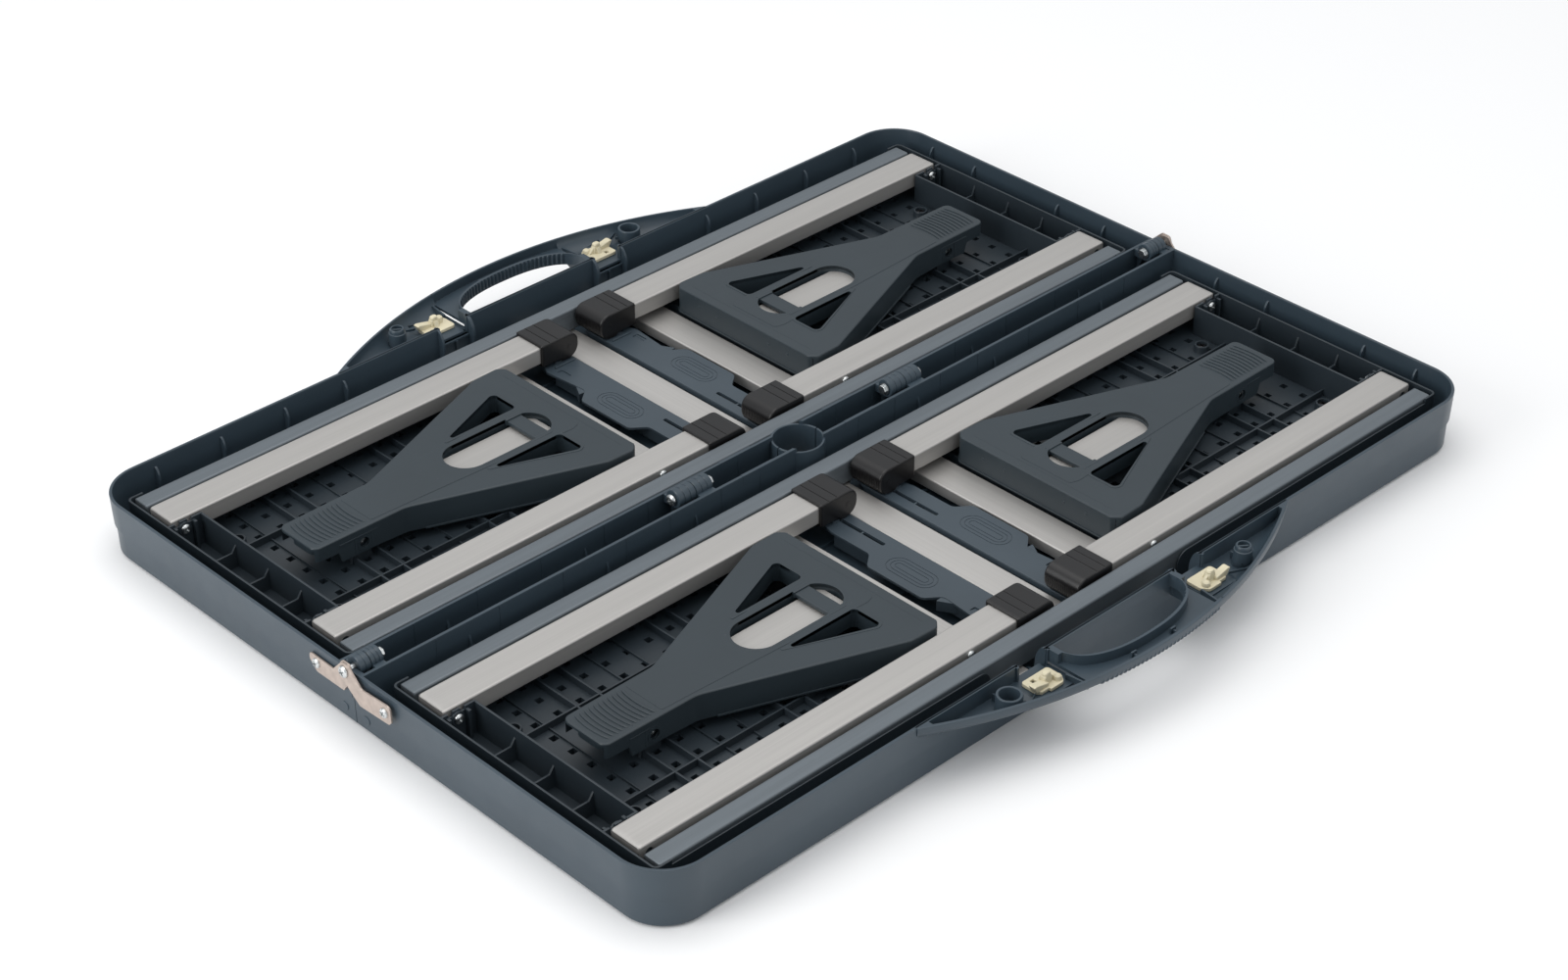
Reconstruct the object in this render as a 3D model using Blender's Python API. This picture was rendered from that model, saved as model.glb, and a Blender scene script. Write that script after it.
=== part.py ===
"""Suitcase-type folding picnic table, laid open flat on its two table-top halves.

Two identical moulded half-shells are joined by a seam hinge. Each half holds a
bench: two painted rails, two moulded seats, two hinged leg frames, two Y-braces
with their slide bars, and three parallel cross links that carry the bench.
Half B is half A turned 180 degrees about the vertical through the umbrella hole.
All dimensions below are millimetres and are scaled to metres when a mesh is made.
"""
import math

import bmesh
import bpy
from mathutils import Matrix, Vector

# ---------------------------------------------------------------- dimensions
MM = 0.001
GAP = 0.3              # clearance between separate pieces
LEN = 855.0            # shell length, along the seam
HALF_W = 316.0         # seam to outer long wall
RIM = 50.0             # height of a half-shell
SKIN = 3.5             # table-top skin
WALL = 2.6             # side wall thickness
CORNER_R = 38.0        # outer corner radius
SEAM_EDGE = 0.3        # table-top edge to the seam plane
SEAM_WALL = 11.0       # seam wall, outer face
AXIS_Z = 50.4          # height of the seam hinge axis
UMB_R = 19.0           # umbrella hole radius
UMB_WALL = 2.0
KNUCKLE_R = 7.5
BOLT_R = 2.4
BOLT_HOLE_R = 2.8

MID = 159.0            # centre line of a bench, from the seam
RAIL_IN = 117.0        # bench centre line to rail, inner face
RAIL_W = 16.0
RAIL_Z = (20.3, 40.3)
RAIL_END = 404.5
RAIL_T = 1.3           # wall of the rail, a square steel tube
TUBE_IN = 85.0         # bench centre line to leg tube, inner face
TUBE_W = 28.0
TUBE_Z = (27.0, 42.0)
TUBE_T = 1.6
LEG_X, LEG_Z = 396.0, 34.5     # leg hinge axis
TUBE_TIP = 404.5
CAP_IN, CAP_OUT = 12.0, 50.0
CAP_T = 2.2
STRUT_X = (17.5, 48.5)
STRUT_WIDE = 57.0
STRUT_Z = (9.0, 22.0)

SEAT_X = (98.0, 410.4)
PLATE_Z = (9.5, 14.0)
RIB_TOP = 20.0
SKIRT_TOP = 37.0       # skirts along the outer faces of the rails
END_WALL_X = 380.6
PIVOT_PIN_R = 3.0
PIVOT_HOLE_R = 3.4

BRACE_TOP = 45.0
BAR_X, BAR_Z = 310.0, 33.0     # slide-bar hinge axis on the seat
BAR_TOP = (35.0, 40.0)
BAR_HALF = 15.0

LINK_Y, LINK_Z = 295.0, 14.0   # shell-side pivot of the cross links
LINK_B = 34.0                  # bench-side pivot
LINK_H = 10.0
LINK_MID = (-15.0, 15.0)
LINK_SIDE = (62.0, 92.0)

HANDLE_HALF = 197.0
HANDLE_OUT = 368.0
GRIP_IN = 351.0
GRIP_HALF = 62.0
HANDLE_FLOOR = (29.0, 31.5)
GRIP_FLOOR = (40.0, 42.0)
LATCH_X = 87.0
NOTCH_Z = 35.2         # floor of the wall notches beside the latches


# ------------------------------------------------------------------ helpers
def clear_scene():
    for ob in list(bpy.data.objects):
        bpy.data.objects.remove(ob, do_unlink=True)


def material(name, rgb, rough, metal):
    m = bpy.data.materials.new(name)
    m.use_nodes = True
    p = m.node_tree.nodes["Principled BSDF"]
    p.inputs["Base Color"].default_value = (*rgb, 1.0)
    p.inputs["Roughness"].default_value = rough
    p.inputs["Metallic"].default_value = metal
    return m


def solid(bm):
    bmesh.ops.recalc_face_normals(bm, faces=bm.faces[:])
    me = bpy.data.meshes.new("solid")
    bm.to_mesh(me)
    bm.free()
    ob = bpy.data.objects.new("solid", me)
    bpy.context.scene.collection.objects.link(ob)
    return ob


def loft(rings):
    """A closed solid through rings of equal vertex count, capped at both ends."""
    bm = bmesh.new()
    rows = [[bm.verts.new(Vector(p) * MM) for p in ring] for ring in rings]
    n = len(rows[0])
    for a, b in zip(rows, rows[1:]):
        for i in range(n):
            j = (i + 1) % n
            bm.faces.new((a[i], a[j], b[j], b[i]))
    bm.faces.new(rows[0])
    bm.faces.new(rows[-1])
    return solid(bm)


def prism(poly, axis, lo, hi):
    def at(p, t):
        u, v = p
        return {"x": (t, u, v), "y": (u, t, v), "z": (u, v, t)}[axis]
    return loft([[at(p, lo) for p in poly], [at(p, hi) for p in poly]])


def box(x, y, z):
    return prism([(x[0], y[0]), (x[1], y[0]), (x[1], y[1]), (x[0], y[1])], "z", z[0], z[1])


def circle(c, r, n, start=0.0, stop=2 * math.pi, closed=True):
    k = n if closed else n - 1
    return [(c[0] + r * math.cos(start + (stop - start) * i / k),
             c[1] + r * math.sin(start + (stop - start) * i / k)) for i in range(n)]


def rounded(lo, hi, r, n=3):
    """A rectangle with rounded corners, as a polygon."""
    (x0, y0), (x1, y1) = lo, hi
    out = []
    for cx, cy, a in ((x1 - r, y0 + r, -90), (x1 - r, y1 - r, 0), (x0 + r, y1 - r, 90), (x0 + r, y0 + r, 180)):
        for i in range(n + 1):
            t = math.radians(a + 90 * i / n)
            out.append((cx + r * math.cos(t), cy + r * math.sin(t)))
    return out


def fillet(points, radii, n=3):
    """A polygon with each corner replaced by an arc of its own radius."""
    out = []
    k = len(points)
    for i, (p, r) in enumerate(zip(points, radii)):
        p = Vector(p)
        a = (Vector(points[i - 1]) - p)
        b = (Vector(points[(i + 1) % k]) - p)
        if r <= 0:
            out.append(tuple(p))
            continue
        a.normalize()
        b.normalize()
        half = a.angle(b) / 2
        d = r / math.tan(half)
        c = p + (a + b).normalized() * (r / math.sin(half))
        s, e = p + a * d - c, p + b * d - c
        t0, t1 = math.atan2(s.y, s.x), math.atan2(e.y, e.x)
        while t1 - t0 > math.pi:
            t1 -= 2 * math.pi
        while t1 - t0 < -math.pi:
            t1 += 2 * math.pi
        for j in range(n + 1):
            t = t0 + (t1 - t0) * j / n
            out.append((c.x + r * math.cos(t), c.y + r * math.sin(t)))
    return out


def combine(base, others, op):
    """Apply one exact boolean per other solid to the base."""
    for other in others:
        mod = base.modifiers.new("cut", "BOOLEAN")
        mod.operation, mod.solver, mod.object = op, "EXACT", other
        bpy.context.view_layer.update()
        dg = bpy.context.evaluated_depsgraph_get()
        me = bpy.data.meshes.new_from_object(base.evaluated_get(dg))
        base.modifiers.clear()
        old = base.data
        base.data = me
        bpy.data.meshes.remove(old)
        bpy.data.objects.remove(other, do_unlink=True)
    return base


def union(parts):
    return combine(parts[0], parts[1:], "UNION")


def cut(base, parts):
    return combine(base, parts, "DIFFERENCE")


def flip_x(ob):
    ob.data.transform(Matrix.Scale(-1, 4, (1, 0, 0)))
    ob.data.flip_normals()
    return ob


TURN = Matrix.Rotation(math.pi, 4, "Z")


def tidy(mesh, merge_flats):
    """Triangles of a mesh, with flat neighbours merged first where that keeps it closed."""
    bm = bmesh.new()
    bm.from_mesh(mesh)
    if merge_flats:
        bmesh.ops.remove_doubles(bm, verts=bm.verts[:], dist=0.000002)
        bmesh.ops.dissolve_limit(bm, angle_limit=math.radians(0.05), verts=bm.verts[:], edges=bm.edges[:])
    bmesh.ops.triangulate(bm, faces=bm.faces[:])
    return bm


def finish(ob, name, mat, origin):
    """Name the node, give it its material, smooth shading and its origin."""
    bm = tidy(ob.data, True)
    if any(len(e.link_faces) != 2 for e in bm.edges):
        bm.free()
        bm = tidy(ob.data, False)
    for f in bm.faces:
        f.smooth = True
    for e in bm.edges:
        e.smooth = len(e.link_faces) == 2 and e.calc_face_angle(0.0) < math.radians(32)
    bm.to_mesh(ob.data)
    bm.free()
    o = Vector(origin) * MM
    ob.data.transform(Matrix.Translation(-o))
    ob.location = o
    ob.name = ob.data.name = name
    ob.data.materials.clear()
    ob.data.materials.append(mat)
    return ob


def place(make, stem, mat, origin, sides):
    """Put one solid at each wanted place: a/b for the half, l/r for the end."""
    for side in sides:
        half = side[0]
        end = side[1] if len(side) > 1 else ""
        ob = make()
        o = Vector(origin)
        # solids are drawn at +x of half A
        if end and (end == "l") != (half == "b"):
            flip_x(ob)
            o.x = -o.x
        if half == "b":
            ob.data.transform(TURN)
            o = TURN @ o
        finish(ob, f"{stem}_{side}", mat(stem + "_" + side), o)


# ---------------------------------------------------------------- materials
def paint(rgb, rough, metal):
    return lambda name: material(name + "_mat", rgb, rough, metal)


SLATE = paint((0.060, 0.078, 0.094), 0.42, 0.0)
SEAT_GREY = paint((0.040, 0.048, 0.056), 0.50, 0.0)
STRUT_GREY = paint((0.062, 0.080, 0.096), 0.44, 0.0)
BLACK = paint((0.020, 0.018, 0.019), 0.42, 0.0)
GREY_PAINT = paint((0.150, 0.165, 0.185), 0.40, 0.4)
ALU = paint((0.52, 0.50, 0.47), 0.38, 0.9)
CREAM = paint((0.74, 0.68, 0.52), 0.40, 0.0)
CHAMPAGNE = paint((0.55, 0.44, 0.37), 0.32, 0.9)
ZINC = paint((0.62, 0.63, 0.62), 0.28, 1.0)


# ------------------------------------------------------------- half-shell
def footprint(inset, y0, z, n=5):
    """Shell outline, inset from its outer walls, closed by a straight seam side."""
    x, y, r = LEN / 2 - inset, HALF_W - inset, CORNER_R - inset
    pts = [(-x, y0, z), (x, y0, z)]
    for cx, a in ((x - r, 0), (-x + r, 90)):
        for i in range(n + 1):
            t = math.radians(a + 90 * i / n)
            pts.append((cx + r * math.cos(t), y - r + r * math.sin(t), z))
    return pts


def clip_arc(x0, x1, inset, n):
    """Area between the shell wall and the handle arc, from x0 to x1."""
    sag = HANDLE_OUT - HALF_W
    r = (HANDLE_HALF ** 2 + sag * sag) / (2 * sag)
    cy = HANDLE_OUT - r
    r -= inset
    pts = [(x0, HALF_W - 2.0)]
    pts.append((x1, HALF_W - 2.0))
    for i in range(n + 1):
        x = x1 + (x0 - x1) * i / n
        pts.append((x, max(HALF_W - 1.5, cy + math.sqrt(r * r - x * x))))
    return pts


def make_shell():
    outer = loft([footprint(4.6, SEAM_EDGE, 0.0), footprint(3.0, SEAM_EDGE, 1.8), footprint(2.6, SEAM_EDGE, 24.0),
                  footprint(1.2, SEAM_EDGE, 25.0), footprint(0.0, SEAM_EDGE, RIM)])
    tray = loft([footprint(5.6, SEAM_WALL + WALL, SKIN), footprint(4.2, SEAM_WALL + WALL, 24.0),
                 footprint(WALL, SEAM_WALL + WALL, RIM + 5)])
    side = LEN / 2 - WALL
    channel = box((-side + 2.2, side - 2.2), (-5, SEAM_WALL), (SKIN, RIM + 5))
    body = cut(outer, [tray, channel])

    # handle: deep ends, shallow grip, one raised arc wall
    adds, cuts = [], []
    for s in (-1, 1):
        lo, hi = sorted((s * 66.0, s * (HANDLE_HALF - 1.0)))
        adds.append(prism(clip_arc(lo, hi, 0.0, 8), "z", HANDLE_FLOOR[0], RIM))
        lo, hi = sorted((s * 68.5, s * (HANDLE_HALF - 12.0)))
        pts = clip_arc(lo, hi, 2.6, 8)
        cuts.append(prism([(x, max(y, HALF_W)) for x, y in pts], "z", HANDLE_FLOOR[1], RIM + 5))
    grip = prism(clip_arc(-67.0, 67.0, 0.0, 8), "z", GRIP_FLOOR[0], RIM)
    body = union([body, grip] + adds)
    # tray of the grip, then the finger opening
    sag = HANDLE_OUT - HALF_W
    r = (HANDLE_HALF ** 2 + sag * sag) / (2 * sag)
    cy = HANDLE_OUT - r
    band = [(x, cy + math.sqrt((r - 2.6) ** 2 - x * x)) for x in (69.5 - 139.0 * i / 8 for i in range(9))]
    back = [(x, grip_edge(x) + 2.2) for x in (-69.5 + 139.0 * i / 10 for i in range(11))]
    cuts.append(prism(band + back, "z", GRIP_FLOOR[1], RIM + 5))
    body = cut(body, cuts)
    hole = [(x, grip_edge(x)) for x in (60.0 - 120.0 * i / 12 for i in range(13))]
    hole = [(GRIP_HALF, HALF_W + 0.0)] + [(GRIP_HALF, HALF_W + 8)] + hole[1:-1] + [(-GRIP_HALF, HALF_W + 8), (-GRIP_HALF, HALF_W + 0.0)]
    body = cut(body, [prism(hole, "z", -1.0, RIM + 5)])

    extra = []
    for s in (-1, 1):                      # latch pads
        extra.append(box(sorted((s * 72.0, s * 104.0)), (HALF_W - 1, 350.0), (HANDLE_FLOOR[0] + 0.5, 35.0)))
    extra.append(prism(circle((-124.0, 333.0), 5.2, 12), "z", HANDLE_FLOOR[0] + 0.5, RIM + 3.5))   # male boss
    extra.append(prism(circle((124.0, 333.0), 9.6, 16), "z", HANDLE_FLOOR[0] + 0.5, RIM))          # female boss
    for s in (-1, 1):                      # wall gussets
        for x in (194.0, 251.0, 311.0, 98.0, 66.0):
            w = 1.1
            tri = [(HALF_W - 1.6, 44.0), (HALF_W - 9.0, 30.0), (HALF_W - 9.0, 3.0), (HALF_W - 1.6, 3.0)]
            extra.append(prism(tri, "x", s * x - w, s * x + w))
        for y in (115.0, 213.0):
            tri = [(LEN / 2 - 1.6, 44.0), (LEN / 2 - 9.0, 30.0), (LEN / 2 - 9.0, 3.0), (LEN / 2 - 1.6, 3.0)]
            tri = [(s * x, z) for x, z in tri]
            extra.append(prism(tri, "y", y - 1.1, y + 1.1))
    # half of the umbrella ring
    ring = [(x, y) for x, y in circle((0, 0), UMB_R + UMB_WALL, 17, 0.0, math.pi, False)]
    ring = [(x, max(y, SEAM_EDGE)) for x, y in ring]
    extra.append(prism(ring, "z", 1.0, 47.0))
    # seam knuckles with an arm each
    for x0, x1 in KNUCKLES:
        extra.append(prism(circle((0.0, AXIS_Z), KNUCKLE_R, 16), "x", x0, x1))
        extra.append(box((x0, x1), (0.5, SEAM_WALL + 1.0), (42.9, RIM - 0.2)))
    # lugs of the cross links
    for k, (lo, hi) in enumerate(LINK_PAIRS):
        for a, b in ((lo - 2.6, lo - GAP), (hi + GAP, hi + 2.6)):
            foot = 8.0 + 0.4 * k + (0.2 if a < lo - 1 else 0.0)
            lug = [(LINK_Y - foot, SKIN - 1)] + circle((LINK_Y, LINK_Z), 4.9, 7, math.pi, 0.0, False) + [(LINK_Y + foot, SKIN - 1)]
            extra.append(prism(lug, "x", a, b))
        extra.append(prism(circle((LINK_Y, LINK_Z), PIVOT_PIN_R, 10), "x", lo - 1.5, hi + 1.5))
    body = union([body] + extra)

    holes = [prism(circle((0, 0), UMB_R, 32), "z", -5, RIM + 5),
             prism(circle((124.0, 333.0), 7.4, 16), "z", HANDLE_FLOOR[1] + 1.0, RIM + 5),
             prism(circle((0.0, AXIS_Z), BOLT_HOLE_R, 12), "x", -LEN / 2 - 5, LEN / 2 + 5)]
    holes.append(box((-124.9, -123.1), (326.0, 340.0), (46.0, RIM + 5)))     # slot in the male boss
    for s in (-1, 1):                      # the wall dips to the latch pads
        holes.append(box(sorted((s * 68.9, s * 96.2)), (HALF_W - 6.0, HALF_W + 1.5), (NOTCH_Z, RIM + 5)))
    return cut(body, holes)


def grip_edge(x):
    """Finger-side edge of the grip."""
    t = min(1.0, abs(x) / GRIP_HALF)
    return HALF_W + 8 + (GRIP_IN - HALF_W - 8) * math.sqrt(max(0.0, 1 - t ** 2.4))


KNUCKLES = [(-128.0, -111.2), (94.6, 110.8), (-422.3, -413.2), (402.6, 412.8)]
LINK_PAIRS = [LINK_MID, LINK_SIDE, (-LINK_SIDE[1], -LINK_SIDE[0])]


# ------------------------------------------------------------------ bench
def make_rail(out):
    s = 1 if out else -1
    y0, y1 = sorted((MID + s * RAIL_IN, MID + s * (RAIL_IN + RAIL_W)))
    rail = prism(rounded((y0, RAIL_Z[0]), (y1, RAIL_Z[1]), 1.5, 2), "x", -RAIL_END, RAIL_END)
    t = RAIL_T
    rail = cut(rail, [prism(rounded((y0 + t, RAIL_Z[0] + t), (y1 - t, RAIL_Z[1] - t), 0.8, 1), "x", -RAIL_END - 5, RAIL_END + 5)])
    if out:
        return rail
    extra = []
    for lo, hi in LINK_PAIRS:
        for a, b in ((lo - 2.6, lo - GAP), (hi + GAP, hi + 2.6)):
            lug = [(LINK_B + 7, RAIL_Z[0] + 1)] + circle((LINK_B, LINK_Z), 4.9, 7, 0.0, -math.pi, False) + [(LINK_B - 7, RAIL_Z[0] + 1)]
            extra.append(prism(lug, "x", a, b))
        extra.append(prism(circle((LINK_B, LINK_Z), PIVOT_PIN_R, 10), "x", lo - 1.5, hi + 1.5))
    return union([rail] + extra)


def make_link(lo, hi):
    r = LINK_H / 2
    prof = circle((LINK_Y, LINK_Z), r, 7, -math.pi / 2, math.pi / 2, False) + \
        circle((LINK_B, LINK_Z), r, 7, math.pi / 2, 3 * math.pi / 2, False)
    bar = prism(prof, "x", lo, hi)
    return cut(bar, [prism(circle((y, LINK_Z), PIVOT_HOLE_R, 10), "x", lo - 1, hi + 1) for y in (LINK_Y, LINK_B)])


def make_seat():
    """One seat, underside up, at the +x end of half A."""
    y_lo, y_hi = MID - RAIL_IN - RAIL_W - 2.0, MID + RAIL_IN + RAIL_W + 2.0
    foot = fillet([(SEAT_X[0], y_lo + 2), (SEAT_X[1], y_lo), (SEAT_X[1], y_hi), (SEAT_X[0], y_hi - 2)], [4, 5, 5, 4], 3)
    seat = prism(foot, "z", PLATE_Z[0], PLATE_Z[1])
    ribs = []
    inner = SEAT_X[1] - 1.8
    # outer rim wall with a return around each rail end
    lip = 0.2
    wall_out = fillet([(396.0, y_lo - lip), (SEAT_X[1] + lip, y_lo - lip), (SEAT_X[1] + lip, y_hi + lip), (396.0, y_hi + lip)], [0, 5, 5, 0], 3)
    wall_in = fillet([(390.0, y_lo + 1.6), (inner, y_lo + 1.6), (inner, y_hi - 1.6), (390.0, y_hi - 1.6)], [0, 3.4, 3.4, 0], 3)
    rim = cut(prism(wall_out, "z", PLATE_Z[0], 41.0), [prism(wall_in, "z", PLATE_Z[0] - 1, 43.0)])
    ribs.append(rim)
    skirt = fillet([(SEAT_X[0] + 3.0, PLATE_Z[1] - 1), (397.0, PLATE_Z[1] - 1), (397.0, SKIRT_TOP), (SEAT_X[0] + 3.0, SKIRT_TOP)], [0, 0, 0, 9], 3)
    ribs.append(prism(skirt, "y", y_lo + 0.1, y_lo + 1.5))
    ribs.append(prism(skirt, "y", y_hi - 1.5, y_hi - 0.1))
    a, b = MID - TUBE_IN + 1.2, MID + TUBE_IN - 1.2
    ribs.append(box((END_WALL_X - 2.0, END_WALL_X), (a, b), (PLATE_Z[1] - 1, 40.0)))
    for y0, y1 in ((a, a + 2.0), (b - 2.0, b)):
        ribs.append(box((END_WALL_X - 1.0, inner + 0.5), (y0, y1), (PLATE_Z[1] - 1, 41.0)))
    for s in (-1, 1):                     # leg hinge pins
        lo, hi = sorted((MID + s * (TUBE_IN - 2.5), MID + s * (TUBE_IN + TUBE_W - 3)))
        ribs.append(prism(circle((LEG_X, LEG_Z), PIVOT_PIN_R, 10), "y", lo, hi))
    for y in (MID - 40, MID, MID + 40):
        ribs.append(box((END_WALL_X - 1, inner + 0.5), (y - 0.9, y + 0.9), (PLATE_Z[1] - 1, 26.0)))
    for y in (MID - 50, MID + 50):
        ribs.append(box((SEAT_X[0] + 1, END_WALL_X - 1.0), (y - 0.9, y + 0.9), (PLATE_Z[1] - 1, RIB_TOP)))
    for x in (99.2, 150.0, 196.5, 216.0, 296.5, 317.0):
        ribs.append(box((x - 0.9, x + 0.9), (y_lo + 6, y_hi - 6), (PLATE_Z[1] - 1, RIB_TOP - 0.2)))
    for s in (-1, 1):                     # ears and pin of the slide bar
        lo, hi = sorted((MID + s * (BAR_HALF + 0.5), MID + s * (BAR_HALF + 3.0)))
        ear = [(BAR_X - 9, PLATE_Z[1] - 1)] + [(BAR_X + 9, PLATE_Z[1] - 1)] + \
            circle((BAR_X, BAR_Z), 5.0, 7, 0.0, math.pi, False)
        ribs.append(prism(ear, "y", lo, hi))
    ribs.append(prism(circle((BAR_X, BAR_Z), PIVOT_PIN_R - 0.6, 10), "y", MID - BAR_HALF - 2.5, MID + BAR_HALF + 2.5))
    return union([seat] + ribs)


# -------------------------------------------------------------- leg frame
def tube_span(out):
    s = 1 if out else -1
    return sorted((MID + s * TUBE_IN, MID + s * (TUBE_IN + TUBE_W)))


def make_tube(out):
    y0, y1 = tube_span(out)
    side = fillet([(CAP_OUT - 20, TUBE_Z[0]), (TUBE_TIP, TUBE_Z[0]), (TUBE_TIP, TUBE_Z[1]), (CAP_OUT - 20, TUBE_Z[1])], [0, 5, 5, 0], 3)
    tube = prism(side, "y", y0, y1)
    core = prism(rounded((y0 + TUBE_T, TUBE_Z[0] + TUBE_T), (y1 - TUBE_T, TUBE_Z[1] - TUBE_T), 1.0, 1), "x", CAP_OUT - 25, TUBE_TIP + 5)
    return cut(tube, [core, prism(circle((LEG_X, LEG_Z), PIVOT_HOLE_R, 10), "y", y0 - 1, y1 + 1)])


def make_foot(out):
    y0, y1 = tube_span(out)
    a, b = y0 - CAP_T - GAP, y1 + CAP_T + GAP
    if out:
        b = min(b, MID + RAIL_IN - 0.6)
    else:
        a = max(a, MID - RAIL_IN + 0.6)
    top, low = TUBE_Z[1] + CAP_T + GAP, TUBE_Z[0] - CAP_T - GAP
    n = 6
    nose = [(CAP_IN + 11 - 11 * math.sin(math.radians(90 * i / n)), low - 2.6 + 11 - 11 * math.cos(math.radians(90 * i / n))) for i in range(n + 1)]
    crown = [(CAP_IN + 9 - 9 * math.cos(math.radians(90 * i / n)), top - 9 + 9 * math.sin(math.radians(90 * i / n))) for i in range(n + 1)]
    prof = [(CAP_OUT, low), (33.0, low), (29.0, low - 2.6)] + nose + crown + [(CAP_OUT, top)]
    cap = prism(prof, "y", a, b)
    pocket = box((CAP_OUT - 21, CAP_OUT + 5), (y0 - GAP, y1 + GAP), (TUBE_Z[0] - GAP, TUBE_Z[1] + GAP))
    grooves = []
    for x in (34.0, 42.0):
        grooves.append(box((x - 0.6, x + 0.6), (a - 1, b + 1), (top - 0.6, top + 3)))
    return cut(cap, [pocket] + grooves)


def make_strut():
    y0, y1 = MID - TUBE_IN - TUBE_W + 3, MID + TUBE_IN + TUBE_W - 3
    x0, x1 = STRUT_X
    out = fillet([(x0, y0), (x1 - 12, y0), (x1 - 4, y0 + 32), (x1 - 4, MID - 38), (STRUT_WIDE, MID - 28), (STRUT_WIDE, MID + 28),
                  (x1 - 4, MID + 38), (x1, y1 - 30), (x1 - 12, y1), (x0, y1)],
                 [3, 3, 3, 3, 4, 4, 3, 3, 3, 3], 2)
    top = prism(out, "z", STRUT_Z[1] - 3.0, STRUT_Z[1] - 0.4)
    ribs = [box((x0, x0 + 2.2), (y0 + 4, y1 - 4), (STRUT_Z[0], STRUT_Z[1] - 1)),
            box((x1 - 8.2, x1 - 6.0), (y0 + 34, y1 - 34), (STRUT_Z[0], STRUT_Z[1] - 1)),
            box((x0 + 1, x1 - 7), (MID - 30.9, MID - 29.1), (STRUT_Z[0] + 2, STRUT_Z[1] - 1)),
            box((x0 + 1, x1 - 7), (MID + 29.1, MID + 30.9), (STRUT_Z[0] + 2, STRUT_Z[1] - 1))]
    body = union([top] + ribs)
    return cut(body, [box((x0 + 9.0, x0 + 12.6), (MID - 84, MID - 38), (STRUT_Z[0] - 1, STRUT_Z[1] + 2))])


# ------------------------------------------------------------------ brace
def brace_outline(inset=0.0):
    """Y-shaped outline: wide base at small x, narrow pad at large x."""
    k = inset
    pts = [(92.0 + k, -76.0 + k), (98.0 + k, -82.0 + k), (122.0, -81.0 + k), (271.0, -23.0 + k), (354.0 - k, -21.8 + k),
           (354.0 - k, 21.8 - k), (271.0, 23.0 - k), (122.0, 81.0 - k), (98.0 + k, 82.0 - k), (92.0 + k, 76.0 - k)]
    return [(x, MID + y) for x, y in pts]


def make_brace():
    body = prism(fillet(brace_outline(), [3, 3, 10, 20, 5, 5, 20, 10, 3, 3], 2), "z", 22.0, BRACE_TOP)
    inner = [(94.6, -79), (122, -78.2), (271.0, -20.6), (360.0, -19.4), (360.0, 19.4), (271.0, 20.6), (122, 78.2), (94.6, 79)]
    hollow = prism([(x, MID + y) for x, y in inner], "z", 15.0, BRACE_TOP - 2.4)
    side_cut = prism([(262.0, 15.0), (262.0, 22.5), (298.0, 24.0), (330.0, 24.0), (333.0, 33.0), (360.0, 33.0), (360.0, 15.0)], "y", MID - 40, MID + 40)
    body = cut(body, [hollow, side_cut])
    # walls around the windows, then the windows
    wins = []
    for s in (-1, 1):
        tri = [(124.0, MID + s * 26.0), (196.0, MID + s * 26.0), (128.0, MID + s * 53.0), (124.0, MID + s * 51.0)]
        wins.append((fillet(tri, [4, 2, 4, 3], 2)))
    slot = circle((134.5, MID), 21.5, 9, math.pi / 2, 3 * math.pi / 2, False) + circle((194.5, MID), 21.5, 9, -math.pi / 2, math.pi / 2, False)
    walls = []
    for s in (-1, 1):
        tri = [(121.6, MID + s * 23.6), (203.0, MID + s * 23.6), (128.0, MID + s * 56.0), (121.6, MID + s * 53.4)]
        walls.append(prism(fillet(tri, [4, 1, 4, 3], 2), "z", 30.0, BRACE_TOP - 1))
    # trough rails either side of the slide bar
    for s in (-1, 1):
        lo, hi = sorted((MID + s * 19.4, MID + s * 21.4))
        walls.append(box((110.0, 285.0), (lo, hi), (29.0, BRACE_TOP - 1)))
    body = union([body] + walls)
    cuts = [prism(w, "z", 10.0, BRACE_TOP + 5) for w in wins]
    cuts.append(prism([(x, MID + (y - MID) * 0.86) for x, y in slot], "z", 10.0, BRACE_TOP + 5))
    body = cut(body, cuts)
    # strap over the slide bar and a floor strap under it
    strap = [box((127.0, 141.0), (MID - 20.5, MID + 20.5), (41.0, BRACE_TOP - 0.6)),
             box((236.0, 250.0), (MID - 20.5, MID + 20.5), (29.6, 33.6))]
    return union([body] + strap)


def make_bar():
    bar = box((118.0, BAR_X + 4.5), (MID - BAR_HALF, MID + BAR_HALF), BAR_TOP)
    eye = [(BAR_X - 14, BAR_TOP[0] + 1)] + circle((BAR_X, BAR_Z), 4.6, 9, math.pi + 0.4, 2 * math.pi, False) + [(BAR_X + 4.6, BAR_TOP[0] + 1)]
    bar = union([bar, prism(eye, "y", MID - BAR_HALF + 0.2, MID + BAR_HALF - 0.2)])
    return cut(bar, [prism(circle((BAR_X, BAR_Z), PIVOT_PIN_R - 0.2, 10), "y", MID - 30, MID + 30)])


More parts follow.
